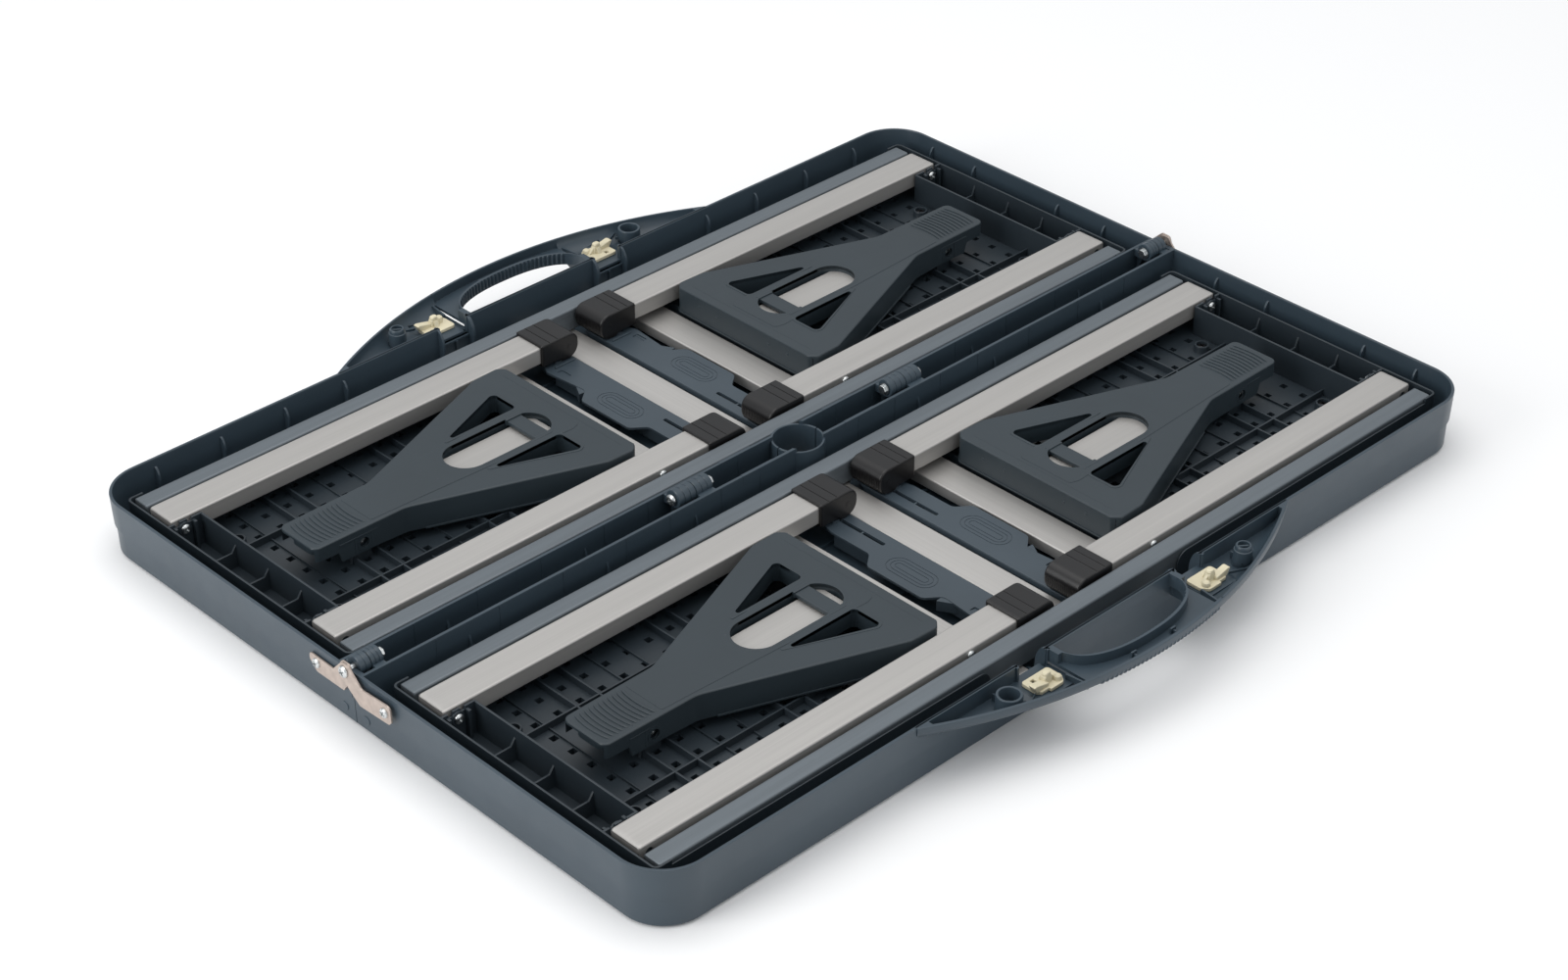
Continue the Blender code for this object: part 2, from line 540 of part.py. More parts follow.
# ----------------------------------------------------- latches and hinges
def make_latch():
    x = LATCH_X
    plate = prism(fillet([(x - 13.5, 322.0), (x + 13.5, 322.0), (x + 13.5, 340.0), (x + 9, 347.0), (x - 9, 347.0), (x - 13.5, 340.0)], [2] * 6, 1), "z", 35.4, 38.2)
    post = prism(rounded((x - 4.0, 329.0), (x + 4.0, 337.0), 1.5, 1), "z", 37.0, 47.0)
    bump = prism(circle((x - 8.0, 337.0), 3.2, 10), "z", 37.0, 41.0)
    tab = prism([(x + 2.0, 36.5), (x + 14.0, 36.5), (x + 17.0, 43.0), (x + 14.5, 43.6), (x + 2.0, 40.5)], "y", 332.0, 338.0)
    return cut(union([plate, post, bump, tab]), [prism(circle((x + 6.0, 326.5), 1.6, 8), "z", 30.0, 50.0)])


def make_plate(s, layer):
    """Dog-leg hinge plate on the -x end; s is the side of the seam."""
    x1 = -LEN / 2 - GAP - layer * 1.9
    if s > 0:
        pts = [(-6.4, 46.4), (5.0, 30.4), (36.0, 30.2), (43.2, 38.0), (42.6, 43.6), (16.0, 43.2), (7.4, 52.4), (4.6, 56.6), (-4.0, 56.6)]
        rad = [3, 1, 5, 4, 2, 2, 3, 3, 3]
    else:
        pts = [(-6.4, 46.4), (2.4, 38.4), (15.2, 28.8), (47.4, 30.4), (50.2, 33.4), (49.6, 46.2), (18.0, 44.2), (7.6, 54.2), (4.6, 57.0), (-4.0, 56.6)]
        rad = [3, 3, 2, 1, 1, 4, 4, 2, 3, 3]
        pts, rad = [(-y, z) for y, z in pts][::-1], rad[::-1]
    plate = prism(fillet(pts, rad, 2), "x", x1 - 1.6, x1)
    return cut(plate, [prism(circle((0.0, AXIS_Z), BOLT_HOLE_R, 12), "x", x1 - 5, x1 + 5)])


def make_bolt(x0, x1, head):
    shank = prism(circle((0.0, AXIS_Z), BOLT_R, 10), "x", x0, x1)
    heads = [prism(circle((0.0, AXIS_Z), 4.4, 12), "x", x0 - 2.2, x0 + 0.2),
             prism(circle((0.0, AXIS_Z), 4.0, 6), "x", x1 - 0.2, x1 + 2.4)]
    return union([shank] + heads)


# ------------------------------------------------------------------ build
clear_scene()
QUARTERS = ("al", "ar", "bl", "br")
HALVES = ("a", "b")

place(make_shell, "shell", SLATE, (0, 0, AXIS_Z), HALVES)
place(lambda: make_rail(True), "rail_outer", GREY_PAINT, (0, LINK_B, LINK_Z), HALVES)
place(lambda: make_rail(False), "rail_inner", GREY_PAINT, (0, LINK_B, LINK_Z), HALVES)
place(lambda: make_link(*LINK_MID), "link_mid", ALU, (0, LINK_Y, LINK_Z), HALVES)
place(lambda: make_link(*LINK_SIDE), "link_side", ALU, (77.0, LINK_Y, LINK_Z), QUARTERS)
place(make_seat, "seat", SEAT_GREY, (250.0, MID, PLATE_Z[0]), QUARTERS)
for flag, word in ((False, "inner"), (True, "outer")):
    place(lambda: make_tube(flag), "tube_" + word, ALU, (LEG_X, MID, LEG_Z), QUARTERS)
    place(lambda: make_foot(flag), "foot_" + word, BLACK, (LEG_X, MID, LEG_Z), QUARTERS)
place(make_strut, "strut", STRUT_GREY, (LEG_X, MID, LEG_Z), QUARTERS)
place(make_brace, "brace", SEAT_GREY, (BAR_X, MID, BAR_Z), QUARTERS)
place(make_bar, "slide_bar", ALU, (BAR_X, MID, BAR_Z), QUARTERS)
place(make_latch, "latch", CREAM, (LATCH_X, 333.0, 36.0), QUARTERS)

# hinge plates: at -x half A's plate is the inner layer, at +x it is the outer
finish(make_plate(1, 0), "hinge_plate_al", CHAMPAGNE("hinge_plate_al"), (-LEN / 2, 0, AXIS_Z))
finish(make_plate(-1, 1), "hinge_plate_bl", CHAMPAGNE("hinge_plate_bl"), (-LEN / 2, 0, AXIS_Z))
for src, name in (((1, 0), "hinge_plate_br"), ((-1, 1), "hinge_plate_ar")):
    ob = make_plate(*src)
    ob.data.transform(TURN)
    finish(ob, name, CHAMPAGNE(name), (LEN / 2, 0, AXIS_Z))

EDGE = LEN / 2 + 4.1
for i, (x0, x1) in enumerate(((-EDGE, -401.0), (-129.6, -93.0), (93.0, 129.6), (401.0, EDGE))):
    name = f"seam_bolt_{i + 1}"
    ob = make_bolt(x0, x1, True) if x0 < 0 else make_bolt(-x1, -x0, True)
    if x0 > 0:
        ob.data.transform(TURN)
    finish(ob, name, ZINC(name), ((x0 + x1) / 2, 0, AXIS_Z))
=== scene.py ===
"""Looks of the suitcase-type folding picnic table: detailed shells, seats, braces,
leg frames, clips and fasteners around the fixed frame, with procedural materials.
All shapes are written in millimetres and scaled to metres when a mesh is made.
Pieces are drawn for the +x end of half A and turned or mirrored to their places."""

import math

import bmesh
import bpy
from mathutils import Matrix, Vector


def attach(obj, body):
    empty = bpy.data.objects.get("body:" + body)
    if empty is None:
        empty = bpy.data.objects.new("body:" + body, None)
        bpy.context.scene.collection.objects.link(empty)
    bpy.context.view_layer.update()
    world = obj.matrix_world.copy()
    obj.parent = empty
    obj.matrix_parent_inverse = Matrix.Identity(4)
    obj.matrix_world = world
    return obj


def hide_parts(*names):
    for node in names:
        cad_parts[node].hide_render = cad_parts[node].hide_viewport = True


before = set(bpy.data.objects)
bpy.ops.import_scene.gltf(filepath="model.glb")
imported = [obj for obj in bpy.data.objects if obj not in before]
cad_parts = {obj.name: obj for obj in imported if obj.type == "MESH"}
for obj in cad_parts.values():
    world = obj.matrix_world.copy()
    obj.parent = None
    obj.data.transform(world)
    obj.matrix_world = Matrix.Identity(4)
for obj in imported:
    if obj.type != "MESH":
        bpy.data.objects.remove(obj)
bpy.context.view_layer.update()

MM = 0.001
LEN, HALF_W, RIM, SKIN, WALL, CORNER_R = 855.0, 316.0, 50.0, 3.5, 2.6, 38.0
SEAM_EDGE, SEAM_WALL, AXIS_Z = 0.3, 11.0, 50.4
UMB_R, UMB_WALL, KNUCKLE_R, BOLT_HOLE_R = 19.0, 2.0, 7.5, 2.8
MID, RAIL_IN, RAIL_W, RAIL_END = 159.0, 117.0, 16.0, 404.5
RAIL_Z = (20.3, 40.3)
TUBE_IN, TUBE_W = 85.0, 28.0
TUBE_Z = (27.0, 42.0)
TUBE_TIP, LEG_X, LEG_Z = 404.5, 396.0, 34.5
SEAT_X0, SEAT_X1 = 98.0, 410.4
PLATE_Z = (9.5, 14.0)
RIB_TOP = 20.0
END_WALL_X = 380.6
BRACE_TOP = 45.0
BAR_X, BAR_Z, BAR_HALF = 310.0, 33.0, 15.0
LINK_Y, LINK_Z, LINK_B = 295.0, 14.0, 34.0
LINK_PAIRS = [(-15.0, 15.0), (62.0, 92.0), (-92.0, -62.0)]
HANDLE_HALF, HANDLE_OUT, GRIP_IN, GRIP_HALF = 197.0, 368.0, 351.0, 62.0
NOTCH_Z = 35.2
SAG = HANDLE_OUT - HALF_W
ARC_R = (HANDLE_HALF ** 2 + SAG * SAG) / (2 * SAG)
ARC_Y = HANDLE_OUT - ARC_R
TURN = Matrix.Rotation(math.pi, 4, "Z")
KNUCKLES = [(-128.0, -111.2), (94.6, 110.8), (-422.3, -413.2), (402.6, 412.8)]


# ------------------------------------------------------------------ helpers
def solid(bm):
    bmesh.ops.recalc_face_normals(bm, faces=bm.faces[:])
    me = bpy.data.meshes.new("solid")
    bm.to_mesh(me)
    bm.free()
    ob = bpy.data.objects.new("solid", me)
    bpy.context.scene.collection.objects.link(ob)
    return ob


def loft(rings):
    bm = bmesh.new()
    rows = [[bm.verts.new(Vector(p) * MM) for p in ring] for ring in rings]
    n = len(rows[0])
    for a, b in zip(rows, rows[1:]):
        for i in range(n):
            j = (i + 1) % n
            bm.faces.new((a[i], a[j], b[j], b[i]))
    bm.faces.new(rows[0])
    bm.faces.new(rows[-1])
    return solid(bm)


def prism(poly, axis, lo, hi):
    def at(p, t):
        u, v = p
        return {"x": (t, u, v), "y": (u, t, v), "z": (u, v, t)}[axis]
    return loft([[at(p, lo) for p in poly], [at(p, hi) for p in poly]])


def box(x, y, z):
    x, y, z = sorted(x), sorted(y), sorted(z)
    return prism([(x[0], y[0]), (x[1], y[0]), (x[1], y[1]), (x[0], y[1])], "z", z[0], z[1])


def circle(c, r, n, start=0.0, stop=2 * math.pi, closed=True):
    k = n if closed else n - 1
    return [(c[0] + r * math.cos(start + (stop - start) * i / k),
             c[1] + r * math.sin(start + (stop - start) * i / k)) for i in range(n)]


def rounded(lo, hi, r, n=4):
    (x0, y0), (x1, y1) = lo, hi
    out = []
    for cx, cy, a in ((x1 - r, y0 + r, -90), (x1 - r, y1 - r, 0), (x0 + r, y1 - r, 90), (x0 + r, y0 + r, 180)):
        for i in range(n + 1):
            t = math.radians(a + 90 * i / n)
            out.append((cx + r * math.cos(t), cy + r * math.sin(t)))
    return out


def fillet(points, radii, n=6):
    out = []
    k = len(points)
    for i, (p, r) in enumerate(zip(points, radii)):
        p = Vector(p)
        a = (Vector(points[i - 1]) - p)
        b = (Vector(points[(i + 1) % k]) - p)
        if r <= 0:
            out.append(tuple(p))
            continue
        a.normalize()
        b.normalize()
        half = a.angle(b) / 2
        d = r / math.tan(half)
        c = p + (a + b).normalized() * (r / math.sin(half))
        s, e = p + a * d - c, p + b * d - c
        t0, t1 = math.atan2(s.y, s.x), math.atan2(e.y, e.x)
        while t1 - t0 > math.pi:
            t1 -= 2 * math.pi
        while t1 - t0 < -math.pi:
            t1 += 2 * math.pi
        for j in range(n + 1):
            t = t0 + (t1 - t0) * j / n
            out.append((c.x + r * math.cos(t), c.y + r * math.sin(t)))
    return out


def evaluated(ob):
    """Apply an object's modifiers to its mesh."""
    bpy.context.view_layer.update()
    dg = bpy.context.evaluated_depsgraph_get()
    me = bpy.data.meshes.new_from_object(ob.evaluated_get(dg))
    ob.modifiers.clear()
    old = ob.data
    ob.data = me
    bpy.data.meshes.remove(old)
    return ob


def combine(base, others, op):
    for other in others:
        mod = base.modifiers.new("cut", "BOOLEAN")
        mod.operation, mod.solver, mod.object = op, "EXACT", other
        evaluated(base)
        bpy.data.objects.remove(other, do_unlink=True)
    return base


def cut(base, parts):
    parts = list(parts)
    if len(parts) > 1:
        parts = [join(parts)] if all(p.get("apart") for p in parts) else parts
    return combine(base, parts, "DIFFERENCE")


def apart(ob):
    """Marks a cutter that touches none of the others, so that they can be cut at once."""
    ob["apart"] = 1
    return ob


def join(parts):
    bm = bmesh.new()
    for p in parts:
        bm.from_mesh(p.data)
    for p in parts:
        bpy.data.objects.remove(p, do_unlink=True)
    me = bpy.data.meshes.new("joined")
    bm.to_mesh(me)
    bm.free()
    ob = bpy.data.objects.new("joined", me)
    bpy.context.scene.collection.objects.link(ob)
    return ob


def clean(ob):
    bm = bmesh.new()
    bm.from_mesh(ob.data)
    bmesh.ops.remove_doubles(bm, verts=bm.verts[:], dist=0.000004)
    bmesh.ops.dissolve_limit(bm, angle_limit=math.radians(0.1), verts=bm.verts[:], edges=bm.edges[:])
    bm.to_mesh(ob.data)
    bm.free()
    return ob


def soft(ob, width, segments=2, angle=35.0):
    """Round the edges of a solid; it stays as it was if the rounding spills out of its box."""
    clean(ob)
    before = [v.co.copy() for v in ob.data.vertices]
    keep = ob.data.copy()
    mod = ob.modifiers.new("bevel", "BEVEL")
    mod.width = width * MM
    mod.segments = segments
    mod.limit_method = "ANGLE"
    mod.angle_limit = math.radians(angle)
    mod.use_clamp_overlap = True
    mod.loop_slide = False
    evaluated(ob)
    for k in range(3):
        lo, hi = min(v[k] for v in before), max(v[k] for v in before)
        if min(v.co[k] for v in ob.data.vertices) < lo - 0.0002 or max(v.co[k] for v in ob.data.vertices) > hi + 0.0002:
            ob.data = keep
            print("rounding undone")
            break
    return ob


def shade(me, angle=34.0):
    bm = bmesh.new()
    bm.from_mesh(me)
    for f in bm.faces:
        f.smooth = True
    for e in bm.edges:
        e.smooth = len(e.link_faces) == 2 and e.calc_face_angle(0.0) < math.radians(angle)
    bm.to_mesh(me)
    bm.free()


def put(src, name, body, mat, side="", nodes=(), angle=34.0):
    """Place a copy of a piece drawn at +x of half A: side is half and end, such as "bl"."""
    me = src.data.copy()
    m = Matrix.Identity(4)
    half, end = (side + "  ")[0], (side + "  ")[1]
    mirrored = end != " " and (end == "l") != (half == "b")
    if mirrored:
        m = Matrix.Scale(-1, 4, (1, 0, 0))
    if half == "b":
        m = TURN @ m
    me.transform(m)
    if mirrored:
        me.flip_normals()
    shade(me, angle)
    me.materials.clear()
    me.materials.append(mat)
    ob = bpy.data.objects.new(name, me)
    me.name = name
    bpy.context.scene.collection.objects.link(ob)
    wn = ob.modifiers.new("normals", "WEIGHTED_NORMAL")
    wn.keep_sharp = True
    wn.weight = 60
    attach(ob, body)
    if nodes:
        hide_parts(*nodes)
    return ob


def spread(src, stem, body, mat, sides, nodes=True, angle=34.0):
    for side in sides:
        put(src, f"{stem}_{side}_skin", f"{body}_{side[0] if body in ('half', 'bench', 'mid_link', 'links') else side}",
            mat, side, (f"{stem}_{side}",) if nodes else (), angle)
    bpy.data.objects.remove(src, do_unlink=True)


# ---------------------------------------------------------------- materials
def nodes_of(name):
    m = bpy.data.materials.new(name)
    m.use_nodes = True
    nt = m.node_tree
    return m, nt, nt.nodes["Principled BSDF"]


def noise(nt, vec, scale, detail=4.0, rough=0.55):
    n = nt.nodes.new("ShaderNodeTexNoise")
    n.inputs["Scale"].default_value = scale
    n.inputs["Detail"].default_value = detail
    n.inputs["Roughness"].default_value = rough
    nt.links.new(vec, n.inputs["Vector"])
    return n.outputs["Fac"]


def mapped(nt, scale):
    co = nt.nodes.new("ShaderNodeTexCoord")
    mp = nt.nodes.new("ShaderNodeMapping")
    mp.inputs["Scale"].default_value = scale
    nt.links.new(co.outputs["Object"], mp.inputs["Vector"])
    return mp.outputs["Vector"]


def ramp(nt, fac, stops):
    r = nt.nodes.new("ShaderNodeValToRGB")
    els = r.color_ramp.elements
    while len(els) < len(stops):
        els.new(0.5)
    for el, (p, c) in zip(els, stops):
        el.position = p
        el.color = (*c, 1.0) if len(c) == 3 else c
    nt.links.new(fac, r.inputs["Fac"])
    return r.outputs["Color"]


def span(nt, fac, lo, hi):
    r = nt.nodes.new("ShaderNodeMapRange")
    r.inputs["To Min"].default_value = lo
    r.inputs["To Max"].default_value = hi
    nt.links.new(fac, r.inputs["Value"])
    return r.outputs["Result"]


def math_node(nt, op, a, b):
    n = nt.nodes.new("ShaderNodeMath")
    n.operation = op
    for i, v in enumerate((a, b)):
        if isinstance(v, (int, float)):
            n.inputs[i].default_value = v
        else:
            nt.links.new(v, n.inputs[i])
    return n.outputs[0]


def bump(nt, p, height, strength, distance):
    b = nt.nodes.new("ShaderNodeBump")
    b.inputs["Strength"].default_value = strength
    b.inputs["Distance"].default_value = distance
    nt.links.new(height, b.inputs["Height"])
    nt.links.new(b.outputs["Normal"], p.inputs["Normal"])


def plastic(name, rgb, rough=0.40, grain=0.25, spec=0.5, scuff=0.5):
    """Moulded plastic: cloudy colour, fine spark-eroded grain, faint drag marks and dust."""
    m, nt, p = nodes_of(name)
    vec = mapped(nt, (1, 1, 1))
    cloud = noise(nt, vec, 9.0, 5.0)
    base = ramp(nt, cloud, [(0.28, tuple(c * 0.90 for c in rgb)), (0.72, tuple(c * 1.10 for c in rgb))])
    # short drag marks, lighter than the plastic
    marks = noise(nt, mapped(nt, (30, 420, 90)), 1.0, 3.0, 0.7)
    thin = math_node(nt, "GREATER_THAN", marks, 0.735)
    patch = math_node(nt, "GREATER_THAN", noise(nt, vec, 14.0, 3.0), 0.60)
    worn = math_node(nt, "MULTIPLY", math_node(nt, "MULTIPLY", thin, patch), 0.30 * scuff)
    # tiny pale specks
    vor = nt.nodes.new("ShaderNodeTexVoronoi")
    vor.inputs["Scale"].default_value = 95.0
    nt.links.new(vec, vor.inputs["Vector"])
    speck = math_node(nt, "LESS_THAN", vor.outputs["Distance"], 0.034)
    speck = math_node(nt, "MULTIPLY", speck, 0.35 * scuff)
    fac = math_node(nt, "MAXIMUM", worn, speck)
    mix = nt.nodes.new("ShaderNodeMix")
    mix.data_type = "RGBA"
    nt.links.new(fac, mix.inputs["Factor"])
    nt.links.new(base, mix.inputs["A"])
    mix.inputs["B"].default_value = (*[min(1.0, c * 2.2 + 0.10) for c in rgb], 1)
    nt.links.new(mix.outputs["Result"], p.inputs["Base Color"])
    nt.links.new(span(nt, noise(nt, vec, 45.0, 4.0), rough - 0.07, rough + 0.09), p.inputs["Roughness"])
    p.inputs["Specular IOR Level"].default_value = spec
    fine = noise(nt, vec, 1500.0, 2.0)
    wave = noise(nt, vec, 38.0, 2.0)
    h = math_node(nt, "ADD", math_node(nt, "MULTIPLY", fine, 0.5), math_node(nt, "MULTIPLY", wave, 0.9))
    bump(nt, p, h, grain, 0.0002)
    return m


def brushed(name, rgb, along, rough=0.34, depth=0.22, metal=0.92):
    """Drawn and brushed aluminium: fine lines along the piece."""
    m, nt, p = nodes_of(name)
    sc = {"x": (6, 1500, 1500), "y": (1500, 6, 1500)}[along]
    lines = noise(nt, mapped(nt, sc), 1.0, 3.0, 0.6)
    broad = noise(nt, mapped(nt, {"x": (3, 170, 170), "y": (170, 3, 170)}[along]), 1.0, 3.0)
    mixed = math_node(nt, "ADD", math_node(nt, "MULTIPLY", lines, 0.6), math_node(nt, "MULTIPLY", broad, 0.4))
    nt.links.new(ramp(nt, mixed, [(0.30, tuple(c * 0.90 for c in rgb)), (0.70, tuple(min(1.0, c * 1.07) for c in rgb))]), p.inputs["Base Color"])
    p.inputs["Metallic"].default_value = metal
    nt.links.new(span(nt, mixed, rough - 0.05, rough + 0.10), p.inputs["Roughness"])
    bump(nt, p, mixed, depth, 0.00005)
    return m


def painted(name, rgb, rough=0.34):
    """Powder-like grey paint on steel tube: orange peel, faint flake and rub marks."""
    m, nt, p = nodes_of(name)
    vec = mapped(nt, (1, 1, 1))
    streak = noise(nt, mapped(nt, (8, 220, 220)), 1.0, 3.0)
    flake = noise(nt, vec, 2600.0, 1.0)
    tone = math_node(nt, "ADD", math_node(nt, "MULTIPLY", streak, 0.6), math_node(nt, "MULTIPLY", flake, 0.4))
    base = ramp(nt, tone, [(0.30, tuple(c * 0.88 for c in rgb)), (0.70, tuple(c * 1.12 for c in rgb))])
    rub = math_node(nt, "GREATER_THAN", noise(nt, vec, 60.0, 5.0, 0.7), 0.745)
    mix = nt.nodes.new("ShaderNodeMix")
    mix.data_type = "RGBA"
    nt.links.new(math_node(nt, "MULTIPLY", rub, 0.45), mix.inputs["Factor"])
    nt.links.new(base, mix.inputs["A"])
    mix.inputs["B"].default_value = (0.10, 0.075, 0.06, 1)
    nt.links.new(mix.outputs["Result"], p.inputs["Base Color"])
    p.inputs["Metallic"].default_value = 0.35
    nt.links.new(span(nt, noise(nt, vec, 70.0, 3.0), rough - 0.06, rough + 0.08), p.inputs["Roughness"])
    bump(nt, p, noise(nt, vec, 420.0, 2.0), 0.16, 0.0002)
    return m


def plated(name, rgb, rough, metal=1.0):
    m, nt, p = nodes_of(name)
    vec = mapped(nt, (1, 1, 1))
    tone = noise(nt, vec, 160.0, 4.0)
    nt.links.new(ramp(nt, tone, [(0.3, tuple(c * 0.85 for c in rgb)), (0.7, tuple(min(1.0, c * 1.10) for c in rgb))]), p.inputs["Base Color"])
    p.inputs["Metallic"].default_value = metal
    nt.links.new(span(nt, noise(nt, vec, 300.0, 3.0), rough - 0.06, rough + 0.10), p.inputs["Roughness"])
    bump(nt, p, noise(nt, vec, 900.0, 2.0), 0.12, 0.0001)
    return m


SLATE = plastic("slate_plastic", (0.036, 0.055, 0.072), 0.36, 0.18, 0.5)
SEAT_GREY = plastic("seat_plastic", (0.021, 0.030, 0.038), 0.42, 0.22, 0.5, 0.4)
BRACE_GREY = plastic("brace_plastic", (0.023, 0.034, 0.042), 0.40, 0.24, 0.50, 0.8)
STRUT_GREY = plastic("strut_plastic", (0.044, 0.062, 0.078), 0.38, 0.20, 0.5, 0.5)
BLACK = plastic("foot_plastic", (0.0052, 0.0048, 0.0052), 0.32, 0.40, 0.5, 0.35)
CREAM = plastic("latch_plastic", (0.66, 0.60, 0.43), 0.42, 0.25, 0.5, 0.0)
ALU_X = brushed("tube_metal", (0.49, 0.475, 0.455), "x", 0.44, 0.16, 0.62)
ALU_Y = brushed("link_metal", (0.53, 0.515, 0.495), "y", 0.44, 0.16, 0.62)
PAINT = painted("rail_paint", (0.140, 0.162, 0.180))
CHAMPAGNE = plated("hinge_plate_metal", (0.50, 0.42, 0.37), 0.40, 0.7)
ZINC = plated("zinc", (0.66, 0.68, 0.68), 0.26)


# ---------------------------------------------------------------- fasteners
def screw_head(r=4.0, h=2.2, cross=True):
    """Pan head along +z from z = 0, with a cross recess."""
    prof = [(r, 0.0), (r, h * 0.35), (r * 0.93, h * 0.62), (r * 0.74, h * 0.86), (r * 0.42, h)]
    ob = loft([[(x, y, z) for x, y in circle((0, 0), rr, 20)] for rr, z in prof])
    if cross:
        w, arm = r * 0.13, r * 0.58
        star = [(arm, -w), (arm, w), (w, w), (w, arm), (-w, arm), (-w, w), (-arm, w), (-arm, -w), (-w, -w), (-w, -arm), (w, -arm), (w, -w)]
        ob = cut(ob, [prism(star, "z", h * 0.35, h + 2)])
    return ob


def aim(ob, at, direction, turn=0.3):
    d = Vector(direction).normalized()
    q = d.to_track_quat("Z", "Y").to_matrix().to_4x4()
    ob.data.transform(Matrix.Translation(Vector(at) * MM) @ q @ Matrix.Rotation(turn, 4, "Z"))
    return ob


def screw_at(at, direction, r=4.0, h=2.2, turn=0.3):
    return aim(screw_head(r, h), at, direction, turn)


# --------------------------------------------------------------- half-shell
def footprint(inset, y0, z, n=18):
    x, y, r = LEN / 2 - inset, HALF_W - inset, CORNER_R - inset
    pts = [(-x, y0, z), (x, y0, z)]
    for cx, a in ((x - r, 0), (-x + r, 90)):
        for i in range(n + 1):
            t = math.radians(a + 90 * i / n)
            pts.append((cx + r * math.cos(t), y - r + r * math.sin(t), z))
    return pts


def clip_arc(x0, x1, inset, n, back=0.0):
    r = ARC_R - inset
    pts = [(x0, HALF_W - 2.0 + back), (x1, HALF_W - 2.0 + back)]
    for i in range(n + 1):
        x = x1 + (x0 - x1) * i / n
        pts.append((x, max(HALF_W - 1.5 + back, ARC_Y + math.sqrt(r * r - x * x))))
    return pts


def grip_edge(x):
    t = min(1.0, abs(x) / GRIP_HALF)
    return HALF_W + 8 + (GRIP_IN - HALF_W - 8) * math.sqrt(max(0.0, 1 - t ** 2.4))


def lathe_x(stations, centre, n=24):
    return loft([[(x, y, z) for y, z in circle(centre, r, n)] for x, r in stations])


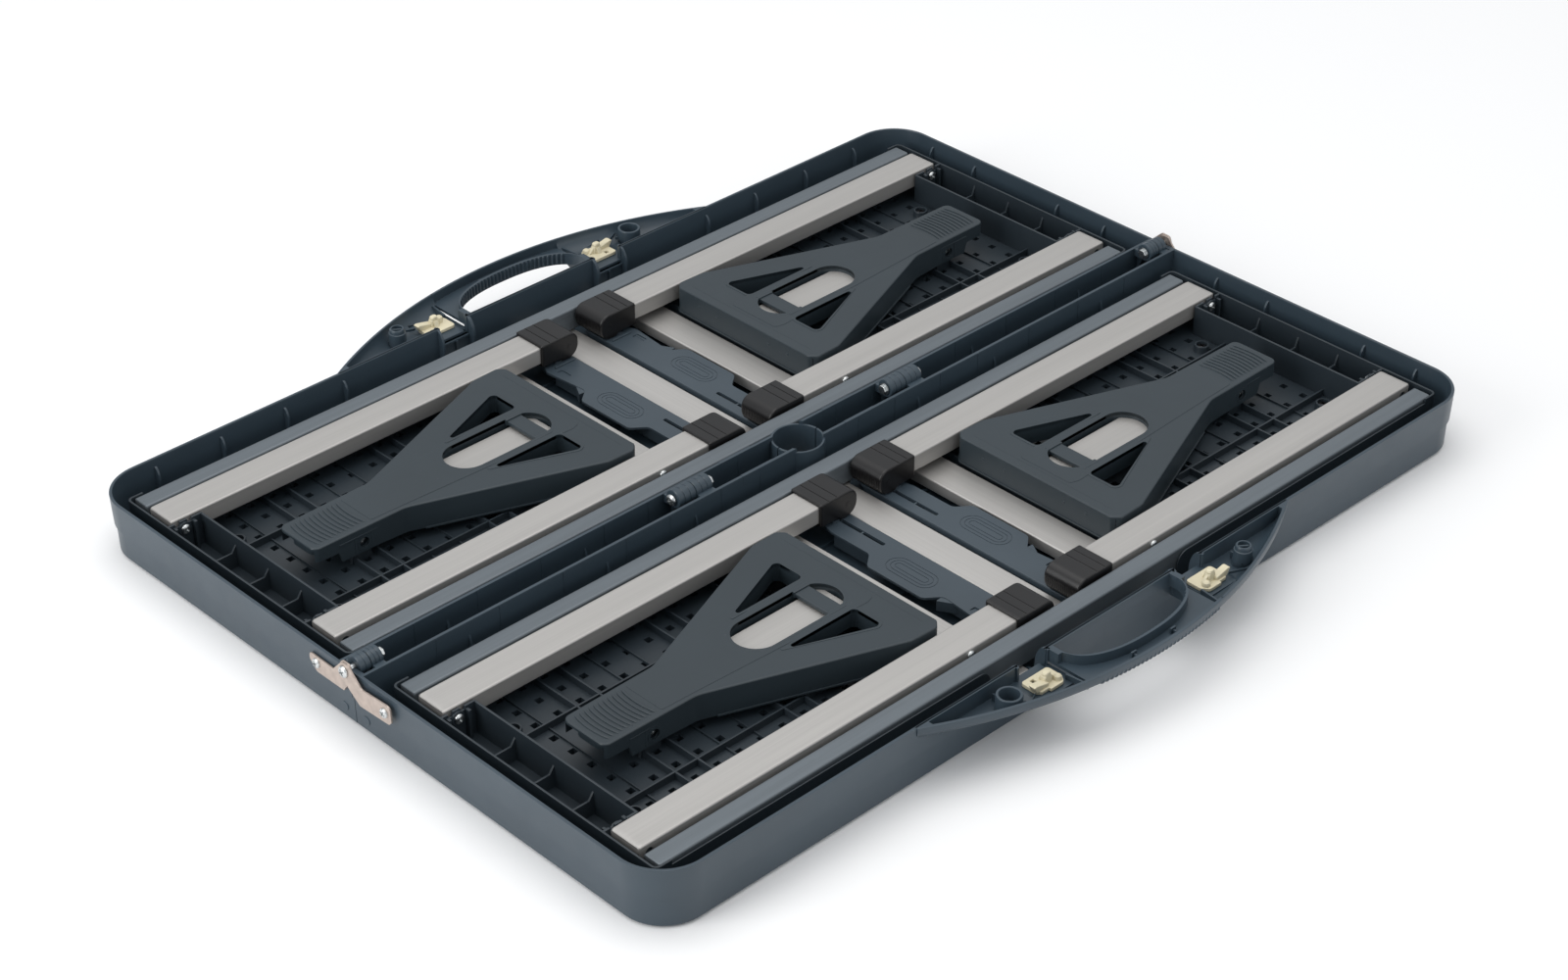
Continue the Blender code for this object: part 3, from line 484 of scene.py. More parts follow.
def make_shell():
    s0 = SEAM_EDGE
    outer = loft([footprint(7.6, s0, 0.0), footprint(5.6, s0, 0.35), footprint(4.0, s0, 1.2), footprint(3.1, s0, 2.6),
                  footprint(2.6, s0, 24.0), footprint(2.3, s0, 24.7), footprint(1.2, s0, 25.3), footprint(0.15, s0, 49.3),
                  footprint(0.35, s0, 49.8), footprint(0.85, s0, RIM)])
    t0 = SEAM_WALL + WALL
    tray = loft([footprint(8.2, t0 + 2.0, SKIN), footprint(6.2, t0 + 0.6, SKIN + 0.5), footprint(5.3, t0, SKIN + 2.2), footprint(4.3, t0, 24.0),
                 footprint(2.9, t0, 49.3), footprint(2.45, t0 - 0.2, RIM), footprint(2.0, t0 - 0.6, RIM + 4)])
    side = LEN / 2 - WALL
    channel = box((-side + 2.2, side - 2.2), (-5, SEAM_WALL), (SKIN, RIM + 5))
    body = cut(outer, [tray, channel])

    # handle: two deep ends and the shallower grip, each with a rounded underside
    for s in (-1, 1):
        lo, hi = sorted((s * 66.0, s * (HANDLE_HALF - 1.0)))
        end = loft([[(x, y, z) for x, y in clip_arc(lo, hi, i, 26)] for i, z in
                    ((24.0, 29.0), (18.0, 30.4), (12.4, 33.4), (8.2, 37.0), (5.2, 39.6), (3.4, 40.9), (1.5, 42.3), (0.4, 43.9), (0.0, 46.0), (0.0, 49.2), (0.3, 49.8), (0.8, RIM))])
        lo, hi = sorted((s * 60.0, s * (HANDLE_HALF - 12.0)))
        well = loft([[(x, max(y, HALF_W), z) for x, y in clip_arc(lo, hi, i, 26)] for i, z in
                     ((15.0, 36.8), (10.5, 38.0), (7.2, 40.0), (4.8, 42.4), (3.2, 45.0), (2.5, 48.0), (2.3, RIM), (2.1, RIM + 5))])
        end = cut(cut(end, [well]), [box((s * 72.0, s * 102.5), (HALF_W + 1.5, 347.8), (38.3, RIM + 5))])
        body = combine(body, [end], "UNION")
    grip = loft([[(x, y, z) for x, y in clip_arc(-67.0, 67.0, i, 40)] for i, z in
                 ((7.0, 39.6), (4.0, 40.6), (1.5, 42.3), (0.4, 43.9), (0.0, 46.0), (0.0, 49.2), (0.3, 49.8), (0.8, RIM))])
    band = [(x, ARC_Y + math.sqrt((ARC_R - 2.6) ** 2 - x * x)) for x in (69.5 - 139.0 * i / 30 for i in range(31))]
    back = [(x, grip_edge(x) + 2.1) for x in (-69.5 + 139.0 * i / 44 for i in range(45))]
    grip = cut(grip, [prism(band + back, "z", 42.0, RIM + 5)])
    body = combine(body, [grip], "UNION")
    # finger opening, with close points where it turns
    hole = [(GRIP_HALF * math.sin(t), 0) for t in (math.pi / 2 - math.pi * i / 46 for i in range(47))]
    hole = [(x, grip_edge(x)) for x, _ in hole]
    hole = [(GRIP_HALF, HALF_W + 0.0)] + hole + [(-GRIP_HALF, HALF_W + 0.0)]
    body = cut(body, [prism(hole, "z", -1.0, RIM + 5)])
    # wall notches beside the clips
    body = cut(body, [apart(box((s * 68.9, s * 96.2), (HALF_W - 6.0, HALF_W + 1.2), (NOTCH_Z, RIM + 5))) for s in (-1, 1)])

    extra = []
    # ribs on the finger side of the grip, and their ends on the outer underside
    x = -54.0
    while x < 54.5:
        extra.append(loft([[(px, py, z) for px, py in circle((x, grip_edge(x) + 0.15), r, 8)] for r, z in
                           ((0.7, 40.4), (1.35, 41.4), (1.35, 48.6), (0.6, 49.9))]))
        slope = abs(grip_edge(x + 0.5) - grip_edge(x - 0.5))
        x += 3.9 / math.sqrt(1 + slope * slope)
    for i in range(-15, 16):
        t = i * 4.1 / ARC_R
        px, py = (ARC_R - 0.9) * math.sin(t), ARC_Y + (ARC_R - 0.9) * math.cos(t)
        extra.append(loft([[(a, b, z) for a, b in circle((px, py - dy), r, 8)] for r, z, dy in
                           ((0.8, 40.6, 2.6), (1.3, 41.8, 1.1), (1.35, 43.5, 0.1), (1.1, 46.0, 0.2), (0.5, 47.2, 0.4))]))
    for s in (-1, 1):
        pad = soft(box((s * 72.0, s * 104.0), (HALF_W - 3.0, 344.6), (36.0, 38.4)), 0.4)
        extra.append(pad)
        extra.append(prism([(s * 104.0, 36.0), (s * 111.0, 36.0), (s * 104.0, 38.2)], "y", HALF_W, 342.0))   # sloped flank
        # diagonal stiffeners from the pad to the arc wall
        for x0, x1 in ((103.2, 118.0), (71.9, 69.6)):
            y1 = ARC_Y + math.sqrt((ARC_R - 5.2) ** 2 - x1 * x1)
            extra.append(prism([(s * x0 - 0.8, 338.0), (s * x0 + 0.8, 338.0), (s * x1 + 0.8, y1), (s * x1 - 0.8, y1)], "z", 38.2 if x0 < 100 else 40.6, 42.6))
        # walls beside the wall notch, curving in from the rim
        for gx in (66.9, 97.9):
            prof = [(HALF_W - 3.6, 24.0), (HALF_W - 2.6, 29.6), (HALF_W + 1.5, 31.0), (HALF_W + 1.5, 50.0), (HALF_W - 1.6, 50.0)] + \
                [(HALF_W - 1.6 - 8.6 * math.sin(math.radians(90 * i / 8)), 32.0 + 17.6 * math.cos(math.radians(90 * i / 8))) for i in range(9)] + \
                [(HALF_W - 10.2, 3.0), (HALF_W - 4.3, 3.0)]
            w = 1.0 if gx > 80 else 1.4
            extra.append(soft(prism(prof, "x", s * gx - w, s * gx + w), 0.35, 2))
        # ledge under the notch
        extra.append(soft(box((s * 68.0, s * 97.0), (HALF_W - 5.0, HALF_W - 1.0), (NOTCH_Z - 2.2, NOTCH_Z)), 0.4))
        extra.append(prism([(HALF_W - 2.6, 34.0), (HALF_W - 6.0, 34.0), (HALF_W - 4.9, 12.0), (HALF_W - 3.7, 12.0)], "x", s * 81.0, s * 83.0) if s > 0
                     else prism([(HALF_W - 2.6, 34.0), (HALF_W - 6.0, 34.0), (HALF_W - 4.9, 12.0), (HALF_W - 3.7, 12.0)], "x", -83.0, -81.0))
        # gussets of the long wall and the end walls
        for gx in (194.0, 251.0, 311.0, 371.0):
            prof = [(HALF_W - 3.6, 24.0), (HALF_W - 2.5, 44.5)] + [(HALF_W - 2.9 - 5.9 * math.sin(math.radians(90 * i / 6)), 30.0 + 13.5 * math.cos(math.radians(90 * i / 6))) for i in range(7)] + \
                [(HALF_W - 9.0, 3.0), (HALF_W - 4.3, 3.0)]
            extra.append(soft(prism(prof, "x", s * gx - 0.9, s * gx + 0.9), 0.3, 2))
        for gy in (62.0, 115.0, 213.0, 264.0):
            e = LEN / 2
            prof = [(e - 3.6, 24.0), (e - 2.5, 44.5)] + [(e - 2.9 - 5.9 * math.sin(math.radians(90 * i / 6)), 30.0 + 13.5 * math.cos(math.radians(90 * i / 6))) for i in range(7)] + \
                [(e - 9.0, 3.0), (e - 4.3, 3.0)]
            extra.append(soft(prism([(s * px, z) for px, z in prof], "y", gy - 0.9, gy + 0.9), 0.3, 2))
        # seam wall: raised stretch beside the pole ring, mould lines, small stops
        extra.append(soft(box((s * 38.0, s * 70.0), (SEAM_WALL - 0.15, SEAM_WALL + WALL + 0.15), (43.0, 50.25)), 0.1))
        for gx in (52.0, 92.0, 143.0, 186.0, 246.0, 305.0, 362.0):
            extra.append(box((s * gx - 0.35, s * gx + 0.35), (SEAM_WALL - 0.35, SEAM_WALL + WALL + 0.35), (5.0, 49.6)))
        for gx in (118.0, 205.0, 333.0):
            tri = [(SEAM_WALL + WALL - 0.5, 40.0), (SEAM_WALL + WALL + 5.0, 22.0), (SEAM_WALL + WALL + 5.0, 3.0), (SEAM_WALL + WALL - 0.5, 3.0)]
            extra.append(prism(tri, "x", s * gx - 0.9, s * gx + 0.9))
            tri = [(SEAM_WALL + 0.5, 40.0), (SEAM_WALL + 0.5, 3.0), (SEAM_WALL - 8.0, 3.0), (SEAM_WALL - 8.0, 12.0)]
            extra.append(prism(tri, "x", s * gx - 0.9, s * gx + 0.9))
        # low ribs across the outer wall inside the tray floor
        extra.append(box((s * 140.0 - 0.8, s * 140.0 + 0.8), (t0 - 0.5, HALF_W - 4.5), (3.0, 7.5)))
        extra.append(box((s * 300.0 - 0.8, s * 300.0 + 0.8), (t0 - 0.5, HALF_W - 4.5), (3.0, 7.5)))
    for gy in (75.0, 159.0, 243.0):
        extra.append(box((-LEN / 2 + 5.0, LEN / 2 - 5.0), (gy - 0.8, gy + 0.8), (3.0, 7.0)))
    # male boss, a slotted tube; female boss, a plain one
    male = loft([[(px, py, z) for px, py in circle((-124.0, cy), r, 24)] for r, z, cy in
                 ((6.4, 36.3, 331.6), (7.5, 39.6, 332.4), (7.2, 42.0, 333.0), (7.0, 49.8, 333.0), (6.3, 50.2, 333.0), (6.1, 52.6, 333.0), (5.5, 53.5, 333.0))])
    male = cut(male, [apart(loft([[(px, py, z) for px, py in circle((-124.0, 333.0), 4.4, 20)] for z in (41.0, 56.0)]))])
    extra.append(male)
    extra.append(aim(box((-0.8, 0.8), (-3.8, 3.8), (0.0, 11.5)), (-124.0, 333.0, 41.2), (0, 0, 1), 0.9))
    fem = loft([[(px, py, z) for px, py in circle((124.0, cy), r, 28)] for r, z, cy in
                ((8.0, 36.3, 330.4), (9.8, 40.2, 332.6), (9.7, 42.5, 333.0), (9.6, 49.4, 333.0), (9.2, RIM, 333.0))])
    extra.append(cut(fem, [loft([[(px, py, z) for px, py in circle((124.0, 333.0), r, 28)] for r, z in ((7.0, 39.6), (7.3, 49.2), (7.8, 50.4))])]))
    for s, r in ((-1, 5.0), (1, 9.0)):
        for ang in (0.5, 2.6, -1.57):
            d = Vector((math.cos(ang), math.sin(ang)))
            c = Vector((s * 124.0, 333.0)) + d * r
            e = c + d * (2.8 if ang > 0 else 6.0)
            nrm = Vector((-d.y, d.x)) * 0.6
            extra.append(prism([tuple(c - nrm), tuple(c + nrm), tuple(e + nrm), tuple(e - nrm)], "z", 40.2 if ang > 0 else 36.4, 42.4))
    for hx, hy in ((-18.0, 357.0), (23.0, 356.5)):       # small hooks in the grip
        extra.append(soft(box((hx - 2.6, hx + 2.6), (hy - 0.8, hy + 0.8), (41.5, 46.5)), 0.3))
        extra.append(soft(box((hx - 0.8, hx + 0.8), (hy - 0.8, hy + 3.4), (41.5, 45.0)), 0.3))

    # pole ring, half of it, with a rounded top edge
    ring = []
    for r0, r1, z in ((UMB_R, UMB_R + 2.1, 1.0), (UMB_R, UMB_R + 2.1, 46.4), (UMB_R + 0.3, UMB_R + 1.8, 47.0)):
        outer_arc = [(x, max(y, SEAM_EDGE + 0.2)) for x, y in circle((0, 0), r1, 33, 0.0, math.pi, False)]
        inner_arc = [(x, max(y, SEAM_EDGE + 0.2)) for x, y in circle((0, 0), r0, 33, math.pi, 0.0, False)]
        ring.append([(x, y, z) for x, y in outer_arc + inner_arc])
    ring = loft(ring)
    body = cut(body, [prism(circle((0, 0), UMB_R + 0.6, 64), "z", -5, RIM + 5)])
    extra.append(ring)
    # seam knuckles: ringed barrels on an arm
    for x0, x1 in KNUCKLES:
        n = 3 if x1 - x0 > 10 else 2
        st = []
        for k in range(n):
            a = x0 + (x1 - x0) * k / n
            b = x0 + (x1 - x0) * (k + 1) / n
            st += [(a + 0.02, 7.0), (a + 0.5, KNUCKLE_R), (b - 0.5, KNUCKLE_R), (b - 0.02, 7.0)]
        barrel = lathe_x(st, (0.0, AXIS_Z), 28)
        extra.append(cut(barrel, [prism(circle((0.0, AXIS_Z), BOLT_HOLE_R, 20), "x", x0 - 3, x1 + 3)]))
        extra.append(soft(box((x0 + 0.3, x1 - 0.3), (3.6, SEAM_WALL + 1.0), (42.9, RIM - 0.2)), 0.5))
        extra.append(prism([(4.0, 43.5), (SEAM_WALL + 0.5, 43.5), (SEAM_WALL + 0.5, 26.0)], "x", (x0 + x1) / 2 - 1.0, (x0 + x1) / 2 + 1.0))
    # lugs of the cross links
    for k, (lo, hi) in enumerate(LINK_PAIRS):
        for a, b in ((lo - 2.6, lo - 0.3), (hi + 0.3, hi + 2.6)):
            lug = [(LINK_Y - 9, SKIN - 0.5)] + circle((LINK_Y, LINK_Z), 4.9, 15, math.pi, 0.0, False) + [(LINK_Y + 9, SKIN - 0.5)]
            extra.append(prism(lug, "x", a, b))
        extra.append(prism(circle((LINK_Y, LINK_Z), 3.0, 20), "x", lo - 3.4, hi + 3.4))
    # drain dimple near the seam tongue on the end wall
    extra.append(lathe_x([(LEN / 2 - 4.2, 3.6), (LEN / 2 - 2.6, 3.6), (LEN / 2 - 2.3, 3.1)], (12.0, 11.0), 20))
    extra.append(lathe_x([(-LEN / 2 + 2.3, 3.1), (-LEN / 2 + 2.6, 3.6), (-LEN / 2 + 4.2, 3.6)], (12.0, 11.0), 20))
    return join([clean(body)] + extra)


# -------------------------------------------------------------------- bench
def make_rail(out):
    s = 1 if out else -1
    y0, y1 = sorted((MID + s * RAIL_IN, MID + s * (RAIL_IN + RAIL_W)))
    e = RAIL_END
    rings = []
    for x, i in ((-e, 0.5), (-e + 0.5, 0.0), (e - 0.5, 0.0), (e, 0.5)):
        rings.append([(x, y, z) for y, z in rounded((y0 + i, RAIL_Z[0] + i), (y1 - i, RAIL_Z[1] - i), 2.0, 4)])
    parts = [loft(rings)]
    # plugs of the seat screws on the underside face of the rail
    for x in (-330.0, -150.0, 150.0, 330.0):
        parts.append(aim(screw_head(2.6, 0.9, False), (x, (y0 + y1) / 2, RAIL_Z[0]), (0, 0, -1)))
    if not out:
        for lo, hi in LINK_PAIRS:
            for a, b in ((lo - 2.6, lo - 0.3), (hi + 0.3, hi + 2.6)):
                lug = [(LINK_B + 7, RAIL_Z[0] + 1)] + circle((LINK_B, LINK_Z), 4.9, 15, 0.0, -math.pi, False) + [(LINK_B - 7, RAIL_Z[0] + 1)]
                parts.append(soft(prism(lug, "x", a, b), 0.3))
            parts.append(prism(circle((LINK_B, LINK_Z), 3.0, 20), "x", lo - 3.4, hi + 3.4))
    return join(parts)


def make_link(lo, hi):
    r = 5.0
    prof = circle((LINK_Y, LINK_Z), r, 15, -math.pi / 2, math.pi / 2, False) + \
        circle((LINK_B, LINK_Z), r, 15, math.pi / 2, 3 * math.pi / 2, False)
    bar = soft(prism(prof, "x", lo, hi), 1.2, 3)
    return cut(bar, [apart(prism(circle((y, LINK_Z), 3.4, 20), "x", lo - 1, hi + 1)) for y in (LINK_Y, LINK_B)])


def perforated(x0, x1, y0, y1, z0, z1, xs, ys, h):
    """A plate with square holes of half-width h centred on xs by ys, as one closed mesh."""
    gx = sorted({x0, x1} | {x + d for x in xs for d in (-h, h)})
    gy = sorted({y0, y1} | {y + d for y in ys for d in (-h, h)})
    hole = {(round(x - h, 3), round(y - h, 3)) for x in xs for y in ys}
    bm = bmesh.new()
    top = [[bm.verts.new(Vector((x, y, z1)) * MM) for y in gy] for x in gx]
    low = [[bm.verts.new(Vector((x, y, z0)) * MM) for y in gy] for x in gx]
    full = {}
    for i in range(len(gx) - 1):
        for j in range(len(gy) - 1):
            full[i, j] = (round(gx[i], 3), round(gy[j], 3)) not in hole
    for (i, j), f in full.items():
        if not f:
            continue
        bm.faces.new((top[i][j], top[i + 1][j], top[i + 1][j + 1], top[i][j + 1]))
        bm.faces.new((low[i][j], low[i][j + 1], low[i + 1][j + 1], low[i + 1][j]))
        for di, dj, a, b in ((-1, 0, (i, j), (i, j + 1)), (1, 0, (i + 1, j + 1), (i + 1, j)), (0, -1, (i + 1, j), (i, j)), (0, 1, (i, j + 1), (i + 1, j + 1))):
            if not full.get((i + di, j + dj), False):
                bm.faces.new((top[a[0]][a[1]], top[b[0]][b[1]], low[b[0]][b[1]], low[a[0]][a[1]]))
    bmesh.ops.delete(bm, geom=[v for v in bm.verts if not v.link_faces], context="VERTS")
    return solid(bm)


def make_seat():
    y_lo, y_hi = MID - RAIL_IN - RAIL_W - 2.0, MID + RAIL_IN + RAIL_W + 2.0
    xs = [367.8 - 20.35 * k for k in range(14)]
    ys = [MID + 19.7 * k for k in range(-6, 7)]
    parts = [perforated(SEAT_X0 + 1.5, SEAT_X1 - 0.9, y_lo + 1.2, y_hi - 1.2, PLATE_Z[0], PLATE_Z[1], xs, ys, 2.75)]
    foot = fillet([(SEAT_X0, y_lo + 1.0), (SEAT_X1, y_lo), (SEAT_X1, y_hi), (SEAT_X0, y_hi - 1.0)], [4, 5, 5, 4], 6)
    edge = prism(foot, "z", PLATE_Z[0] + 0.2, PLATE_Z[1] - 0.2)
    inner = [(SEAT_X0 + 3, y_lo + 3), (SEAT_X1 - 3, y_lo + 3), (SEAT_X1 - 3, y_hi - 3), (SEAT_X0 + 3, y_hi - 3)]
    parts.append(soft(cut(edge, [prism(inner, "z", 0, 30)]), 0.5))
    # rim at the end, wrapping the rail ends
    wo = fillet([(396.0, y_lo), (SEAT_X1, y_lo), (SEAT_X1, y_hi), (396.0, y_hi)], [0, 5, 5, 0], 6)
    wi = fillet([(390.0, y_lo + 1.7), (SEAT_X1 - 1.8, y_lo + 1.7), (SEAT_X1 - 1.8, y_hi - 1.7), (390.0, y_hi - 1.7)], [0, 3.4, 3.4, 0], 6)
    parts.append(soft(cut(prism(wo, "z", PLATE_Z[0] + 0.1, 41.0), [prism(wi, "z", 0, 60)]), 0.35))
    skirt = fillet([(SEAT_X0 + 1.5, PLATE_Z[1] - 1), (398.0, PLATE_Z[1] - 1), (398.0, 37.0), (SEAT_X0 + 1.5, 37.0)], [0, 0, 0, 10], 8)
    parts.append(soft(prism(skirt, "y", y_lo + 0.1, y_lo + 1.5), 0.4))
    parts.append(soft(prism(skirt, "y", y_hi - 1.5, y_hi - 0.1), 0.4))
    # end box: inner wall, side walls with their hooks, cross ribs
    a, b = MID - TUBE_IN + 1.2, MID + TUBE_IN - 1.2
    parts.append(soft(box((END_WALL_X - 2.0, END_WALL_X), (a, b), (PLATE_Z[1] - 1, 40.0)), 0.45))
    for y0, y1, s in ((a, a + 2.0, 1), (b - 2.0, b, -1)):
        wall = [(END_WALL_X - 1.0, PLATE_Z[1] - 1), (SEAT_X1 - 1.0, PLATE_Z[1] - 1), (SEAT_X1 - 1.0, 40.6), (403.5, 40.6), (403.0, 37.0),
                (399.5, 37.0), (399.0, 40.9), (393.0, 40.9), (392.5, 37.6), (389.0, 37.6), (388.5, 40.4), (END_WALL_X - 1.0, 40.4)]
        parts.append(soft(prism(wall, "y", y0, y1), 0.3))
        yy = y1 if s > 0 else y0
        parts.append(soft(box((386.5, 389.0), (yy, yy + s * 4.2), (PLATE_Z[1] - 1, 38.6)), 0.35))
        parts.append(soft(box((403.5, 405.8), (yy, yy + s * 4.2), (PLATE_Z[1] - 1, 38.6)), 0.35))
        parts.append(prism(circle((LEG_X, LEG_Z), 5.4, 20), "y", min(yy, yy + s * 1.6), max(yy, yy + s * 1.6)))
    for s in (-1, 1):                       # leg hinge pins
        lo, hi = sorted((MID + s * (TUBE_IN - 2.5), MID + s * (TUBE_IN + TUBE_W - 1.0)))
        parts.append(prism(circle((LEG_X, LEG_Z), 3.0, 20), "y", lo, hi))
    for y, top in ((MID - 40, 27.0), (MID, 26.0), (MID + 40, 27.0)):
        prof = [(END_WALL_X - 1, PLATE_Z[1] - 1), (SEAT_X1 - 1.5, PLATE_Z[1] - 1), (SEAT_X1 - 1.5, top + 9), (SEAT_X1 - 5, top), (END_WALL_X + 4, top), (END_WALL_X - 1, top + 7)]
        parts.append(soft(prism(prof, "y", y - 0.9, y + 0.9), 0.3))
    # lattice of ribs
    for y in (MID - 50, MID + 50):
        parts.append(soft(box((SEAT_X0 + 1, END_WALL_X - 1.0), (y - 0.85, y + 0.85), (PLATE_Z[1] - 1, RIB_TOP)), 0.3))
    for x in (99.2, 150.0, 196.5, 216.0, 296.5, 317.0):
        parts.append(soft(box((x - 0.85, x + 0.85), (y_lo + 1, y_hi - 1), (PLATE_Z[1] - 1, RIB_TOP - 0.2)), 0.3))
    for x in (130.0, 245.0, 271.0, 343.0):
        parts.append(box((x - 0.6, x + 0.6), (y_lo + 1, y_hi - 1), (PLATE_Z[1] - 1, PLATE_Z[1] + 1.6)))
    # bosses with dark screws, seen through the brace windows
    for bx, by in ((139.0, MID + 38.0), (139.0, MID - 38.0), (364.0, MID + 62.0), (364.0, MID - 62.0)):
        boss = loft([[(px, py, z) for px, py in circle((bx, by), r, 24)] for r, z in ((7.2, 13.0), (6.4, 14.4), (6.2, 19.0), (5.8, 19.6))])
        parts.append(cut(boss, [loft([[(px, py, z) for px, py in circle((bx, by), 4.6, 24)] for z in (16.4, 30)])]))
    # ears and pin of the slide bar
    for s in (-1, 1):
        lo, hi = sorted((MID + s * (BAR_HALF + 0.5), MID + s * (BAR_HALF + 3.0)))
        ear = [(BAR_X - 10, PLATE_Z[1] - 1), (BAR_X + 10, PLATE_Z[1] - 1)] + circle((BAR_X, BAR_Z), 5.4, 15, 0.0, math.pi, False)
        parts.append(soft(prism(ear, "y", lo, hi), 0.4))
    parts.append(prism(circle((BAR_X, BAR_Z), 2.4, 20), "y", MID - BAR_HALF - 2.5, MID + BAR_HALF + 2.5))
    return join(parts)


# ---------------------------------------------------------------- leg frame
def tube_span(out):
    s = 1 if out else -1
    return sorted((MID + s * TUBE_IN, MID + s * (TUBE_IN + TUBE_W)))


def make_tube(out):
    y0, y1 = tube_span(out)
    rings = []
    for x, i, j in ((30.0, 0.0, 0.0), (398.4, 0.0, 0.0), (400.6, 0.5, 0.0), (402.6, 1.6, 0.05), (403.9, 3.2, 0.4), (TUBE_TIP, 4.6, 1.1)):
        rings.append([(x, y, z) for y, z in rounded((y0 + j * 0.6, TUBE_Z[0] + i), (y1 - j * 0.6, TUBE_Z[1] - j), 1.6, 5)])
    tube = loft(rings)
    core = [[(x, y, z) for y, z in rounded((y0 + 1.5, TUBE_Z[0] + 1.5), (y1 - 1.5, TUBE_Z[1] - 1.5), 1.0, 4)] for x in (20.0, 392.0)]
    tube = cut(tube, [loft(core)])
    return cut(tube, [prism(circle((LEG_X, LEG_Z), 3.4, 20), "y", y0 - 1, y1 + 1)])


def make_foot(out):
    y0, y1 = tube_span(out)
    a, b = y0 - 2.5, y1 + 2.5
    if out:
        b = min(b, MID + RAIL_IN - 0.6)
    else:
        a = max(a, MID - RAIL_IN + 0.6)
    top, low = TUBE_Z[1] + 2.5, TUBE_Z[0] - 2.5
    zc = (top + low - 2.6) / 2

    def outline(grow):
        n = 14
        nose = [(23.0 - (11 + grow) * math.sin(math.radians(90 * i / n)), low - 2.6 + 11 - (11 + grow) * math.cos(math.radians(90 * i / n))) for i in range(n + 1)]
        crown = [(21.0 - (9 + grow) * math.cos(math.radians(90 * i / n)), top - 9 + (9 + grow) * math.sin(math.radians(90 * i / n))) for i in range(n + 1)]
        return nose, crown

    nose, crown = outline(0.0)
    prof = [(50.0, low), (33.5, low), (31.0, low - 0.9), (29.0, low - 2.6)] + nose + crown + [(50.0, top)]
    cap = soft(prism(prof, "y", a, b), 1.7, 4, 40)
    pocket = box((29.0, 60.0), (y0 - 0.3, y1 + 0.3), (TUBE_Z[0] - 0.3, TUBE_Z[1] + 0.3))
    cuts = [pocket]
    for x in (33.0, 41.5):                 # creases across the saddle
        w = 0.5
        for z in (top,):
            cuts.append(prism([(x - w, z - 0.45), (x, z - 0.75), (x + w, z - 0.45), (x + w, z + 3), (x - w, z + 3)], "y", a - 1, b + 1))
    cap = cut(cap, cuts)
    parts = [cap]
    # fine ribs round the lower nose
    y = a + 2.2
    while y < b - 2.0:
        o, _ = outline(0.32)
        i_, _ = outline(-0.8)
        front = [(12.0 - 0.32, low - 2.6 + 11 + t) for t in (2.0, 4.0)]
        back = [(12.8, low - 2.6 + 11 + t) for t in (4.0, 2.0)]
        parts.append(prism(o[5:] + front + back + i_[5:][::-1], "y", y, y + 0.85))
        y += 1.75
    # lip where the bulb meets the saddle
    parts.append(soft(box((28.4, 30.2), (a + 0.2, b - 0.2), (low - 1.2, low + 1.5)), 0.4))
    # round dimple ring on the side faces
    for yy, s in ((a, -1), (b, 1)):
        parts.append(loft([[(px, yy + s * d, pz) for px, pz in circle((21.5, zc), r, 20)] for r, d in ((2.4, -0.5), (2.4, 0.10), (1.9, 0.22))]))
    return join(parts)


